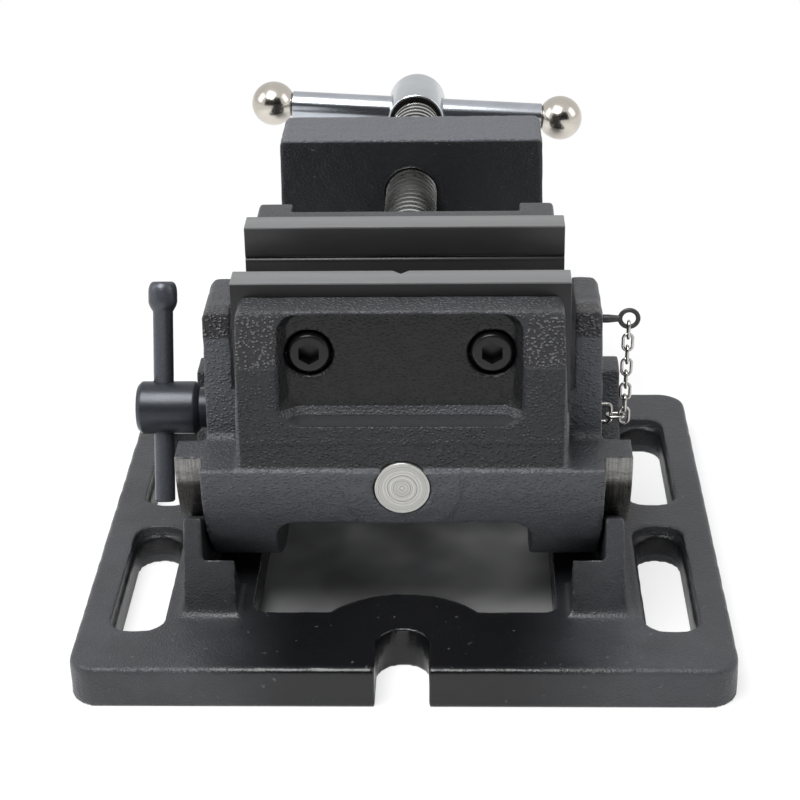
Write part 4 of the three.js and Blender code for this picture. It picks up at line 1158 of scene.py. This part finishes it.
def softbox(name, stand, size, power, aim=(0, 0, 0.06)):
    """A large, even area lamp."""
    lamp = added(name, bpy.ops.object.light_add, type="AREA", location=stand)
    lamp.data.shape = "RECTANGLE"
    lamp.data.size, lamp.data.size_y = size
    lamp.data.energy = power
    lamp.rotation_euler = (Vector(aim) - Vector(stand)).to_track_quat("-Z", "Y").to_euler()


def backdrop(name, size, matrix, material):
    """A plane that belongs to the stage."""
    plane = added(name, bpy.ops.mesh.primitive_plane_add, size=size)
    place(plane, matrix)
    plane.data.materials.append(material)
    return plane


def join_shaders(sheet, share, first, second, output):
    """Mixes two shaders by a share, and feeds the tree's output."""
    mixed = sheet.add("ShaderNodeMixShader")
    joined = sheet.fill(mixed, {0: share, 1: first.outputs[0], 2: second.outputs[0]})
    sheet.feed(sheet.nodes[output].inputs["Surface"], joined[0])


def floor_white():
    """The floor: white to the camera away from the vise, with the vise's shadow near it.

    Under the window it is painted grey as the vise's shadow, mottled and darker towards the front.
    """
    material, sheet, shader = new_material("studio_white", 0.7, 0.0, 0.2)
    white = sheet.add("ShaderNodeEmission")
    rays = sheet.add("ShaderNodeLightPath").outputs
    x, y = sheet.xyz()[:2]
    low, high = (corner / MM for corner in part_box("base"))
    # Under the window the floor is painted grey as the vise's shadow, mottled and darker towards the front
    shade = zone(sheet, x=(low.x + 36, high.x - 36, 2), y=(low.y + 28, high.y - 28, 2))
    painted_shadow = sheet.ramp(sheet.noise(sheet.place(), 28.0, 2.0, 0.5), 0.3, 0.7, 0.35, 0.75)
    painted_shadow = sheet.times(painted_shadow, sheet.ramp(y, (low.y + 28) * MM, (low.y + 90) * MM, 0.15, 1.0))
    grey = sheet.add("ShaderNodeCombineColor")
    for socket in grey.inputs[:3]:
        sheet.feed(socket, painted_shadow)
    sheet.feed(shader.inputs["Base Color"], sheet.mix(shade, (0.92, 0.92, 0.92, 1), grey.outputs[0]))
    away = sheet.radius(x, y)
    mirrored = sheet.times(rays["Is Glossy Ray"], sheet.ramp(away, 0.17, 0.36))
    seen = sheet.times(rays["Is Camera Ray"], sheet.blend(shade, sheet.ramp(away, 0.2, 0.42, 0.7, 1.0), 0.0))
    join_shaders(sheet, sheet.math("MAXIMUM", seen, mirrored), shader, white, "Material Output")
    return material


def studio_air():
    """The world: a soft grey light that the camera, mirrors and glass see as white."""
    world = bpy.data.worlds.new("studio")
    world.use_nodes = True
    sheet = Sheet(world.node_tree)
    soft = sheet.nodes["Background"]
    soft.inputs["Color"].default_value = (0.9, 0.92, 0.95, 1)
    soft.inputs["Strength"].default_value = 0.3
    bright = sheet.add("ShaderNodeBackground")
    bright.inputs["Strength"].default_value = 1.0
    rays = sheet.add("ShaderNodeLightPath").outputs
    seen = sheet.math("MAXIMUM", rays["Is Camera Ray"], rays["Is Transmission Ray"])
    seen = sheet.math("MAXIMUM", seen, rays["Is Glossy Ray"])
    join_shaders(sheet, seen, soft, bright, "World Output")
    return world


class VISE_OT_stage(bpy.types.Operator):
    """Build the floor, the lamps, the world and the camera"""

    bl_idname = "vise.stage"
    bl_label = "Stage"

    def execute(self, context):
        settings = context.scene.vise_stage
        backdrop("studio_floor", 12, Matrix.Translation((0, 0, -0.05 * MM)), floor_white())
        context.scene.world = studio_air()
        softbox("key", (-0.3, -0.5, 1.25), (0.8, 0.8), 24)
        softbox("left_fill", (-1.3, -0.1, 0.8), (0.7, 0.9), 4)
        softbox("right_fill", (1.3, -0.1, 0.8), (0.7, 0.9), 3)

        black, _, shader = new_material("flag_black", 0.9, 0.0, 0.0)
        shader.inputs["Base Color"].default_value = (0.01, 0.01, 0.012, 1)
        upright = Matrix.Rotation(math.pi / 2, 4, "X") @ Matrix.Diagonal((5, 2.6, 1, 1))
        flag = backdrop("studio_flag", 1, Matrix.Translation((0, -2.2, 1.6)) @ upright, black)
        flag.visible_camera = flag.visible_diffuse = flag.visible_shadow = False

        level = math.cos(settings.pitch)
        ahead = Vector((math.sin(settings.yaw) * level, math.cos(settings.yaw) * level, -math.sin(settings.pitch)))
        right = Vector((math.cos(settings.yaw), -math.sin(settings.yaw), 0))
        down = ahead.cross(right)
        rolled_right = right * math.cos(settings.roll) + down * math.sin(settings.roll)
        rolled_down = down * math.cos(settings.roll) - right * math.sin(settings.roll)
        camera = added("photo_camera", bpy.ops.object.camera_add)
        camera.data.lens = settings.lens
        camera.data.shift_x = settings.shift
        camera.data.clip_start = 0.01
        basis = Matrix((rolled_right, -rolled_down, -ahead)).transposed()
        camera.matrix_world = Matrix.Translation(settings.camera_place) @ basis.to_4x4()
        context.scene.camera = camera
        context.scene.view_settings.view_transform = "Standard"
        return {"FINISHED"}


class VISE_PT_panel(bpy.types.Panel):
    """Lists the vise's pieces and their settings"""

    bl_idname = "VISE_PT_panel"
    bl_label = "Tilting Vise"
    bl_space_type = "VIEW_3D"
    bl_region_type = "UI"
    bl_category = "Vise"

    def draw(self, context):
        for operator in OPERATORS:
            self.layout.operator(operator.bl_idname)
        for name, group in SETTINGS.items():
            box = self.layout.box()
            for value in group.__annotations__:
                box.prop(getattr(context.scene, name), value)


OPERATORS = (
    VISE_OT_stage, VISE_OT_castings, VISE_OT_jaw_plates, VISE_OT_bolts, VISE_OT_guide_rod, VISE_OT_lead_screw,
    VISE_OT_handle, VISE_OT_lock, VISE_OT_chain,
)


def register():
    """Registers the settings, the operators and the panel."""
    for kind in (*SETTINGS.values(), *OPERATORS, VISE_PT_panel):
        bpy.utils.register_class(kind)
    for name, group in SETTINGS.items():
        setattr(bpy.types.Scene, name, bpy.props.PointerProperty(type=group))


def unregister():
    """Takes the settings, the operators and the panel away."""
    for name in SETTINGS:
        delattr(bpy.types.Scene, name)
    for kind in (VISE_PT_panel, *reversed(OPERATORS), *reversed(SETTINGS.values())):
        bpy.utils.unregister_class(kind)


def main():
    """Builds every piece."""
    register()
    for operator in OPERATORS:
        getattr(bpy.ops.vise, operator.bl_idname.split(".")[1])()


if __name__ == "__main__":
    main()
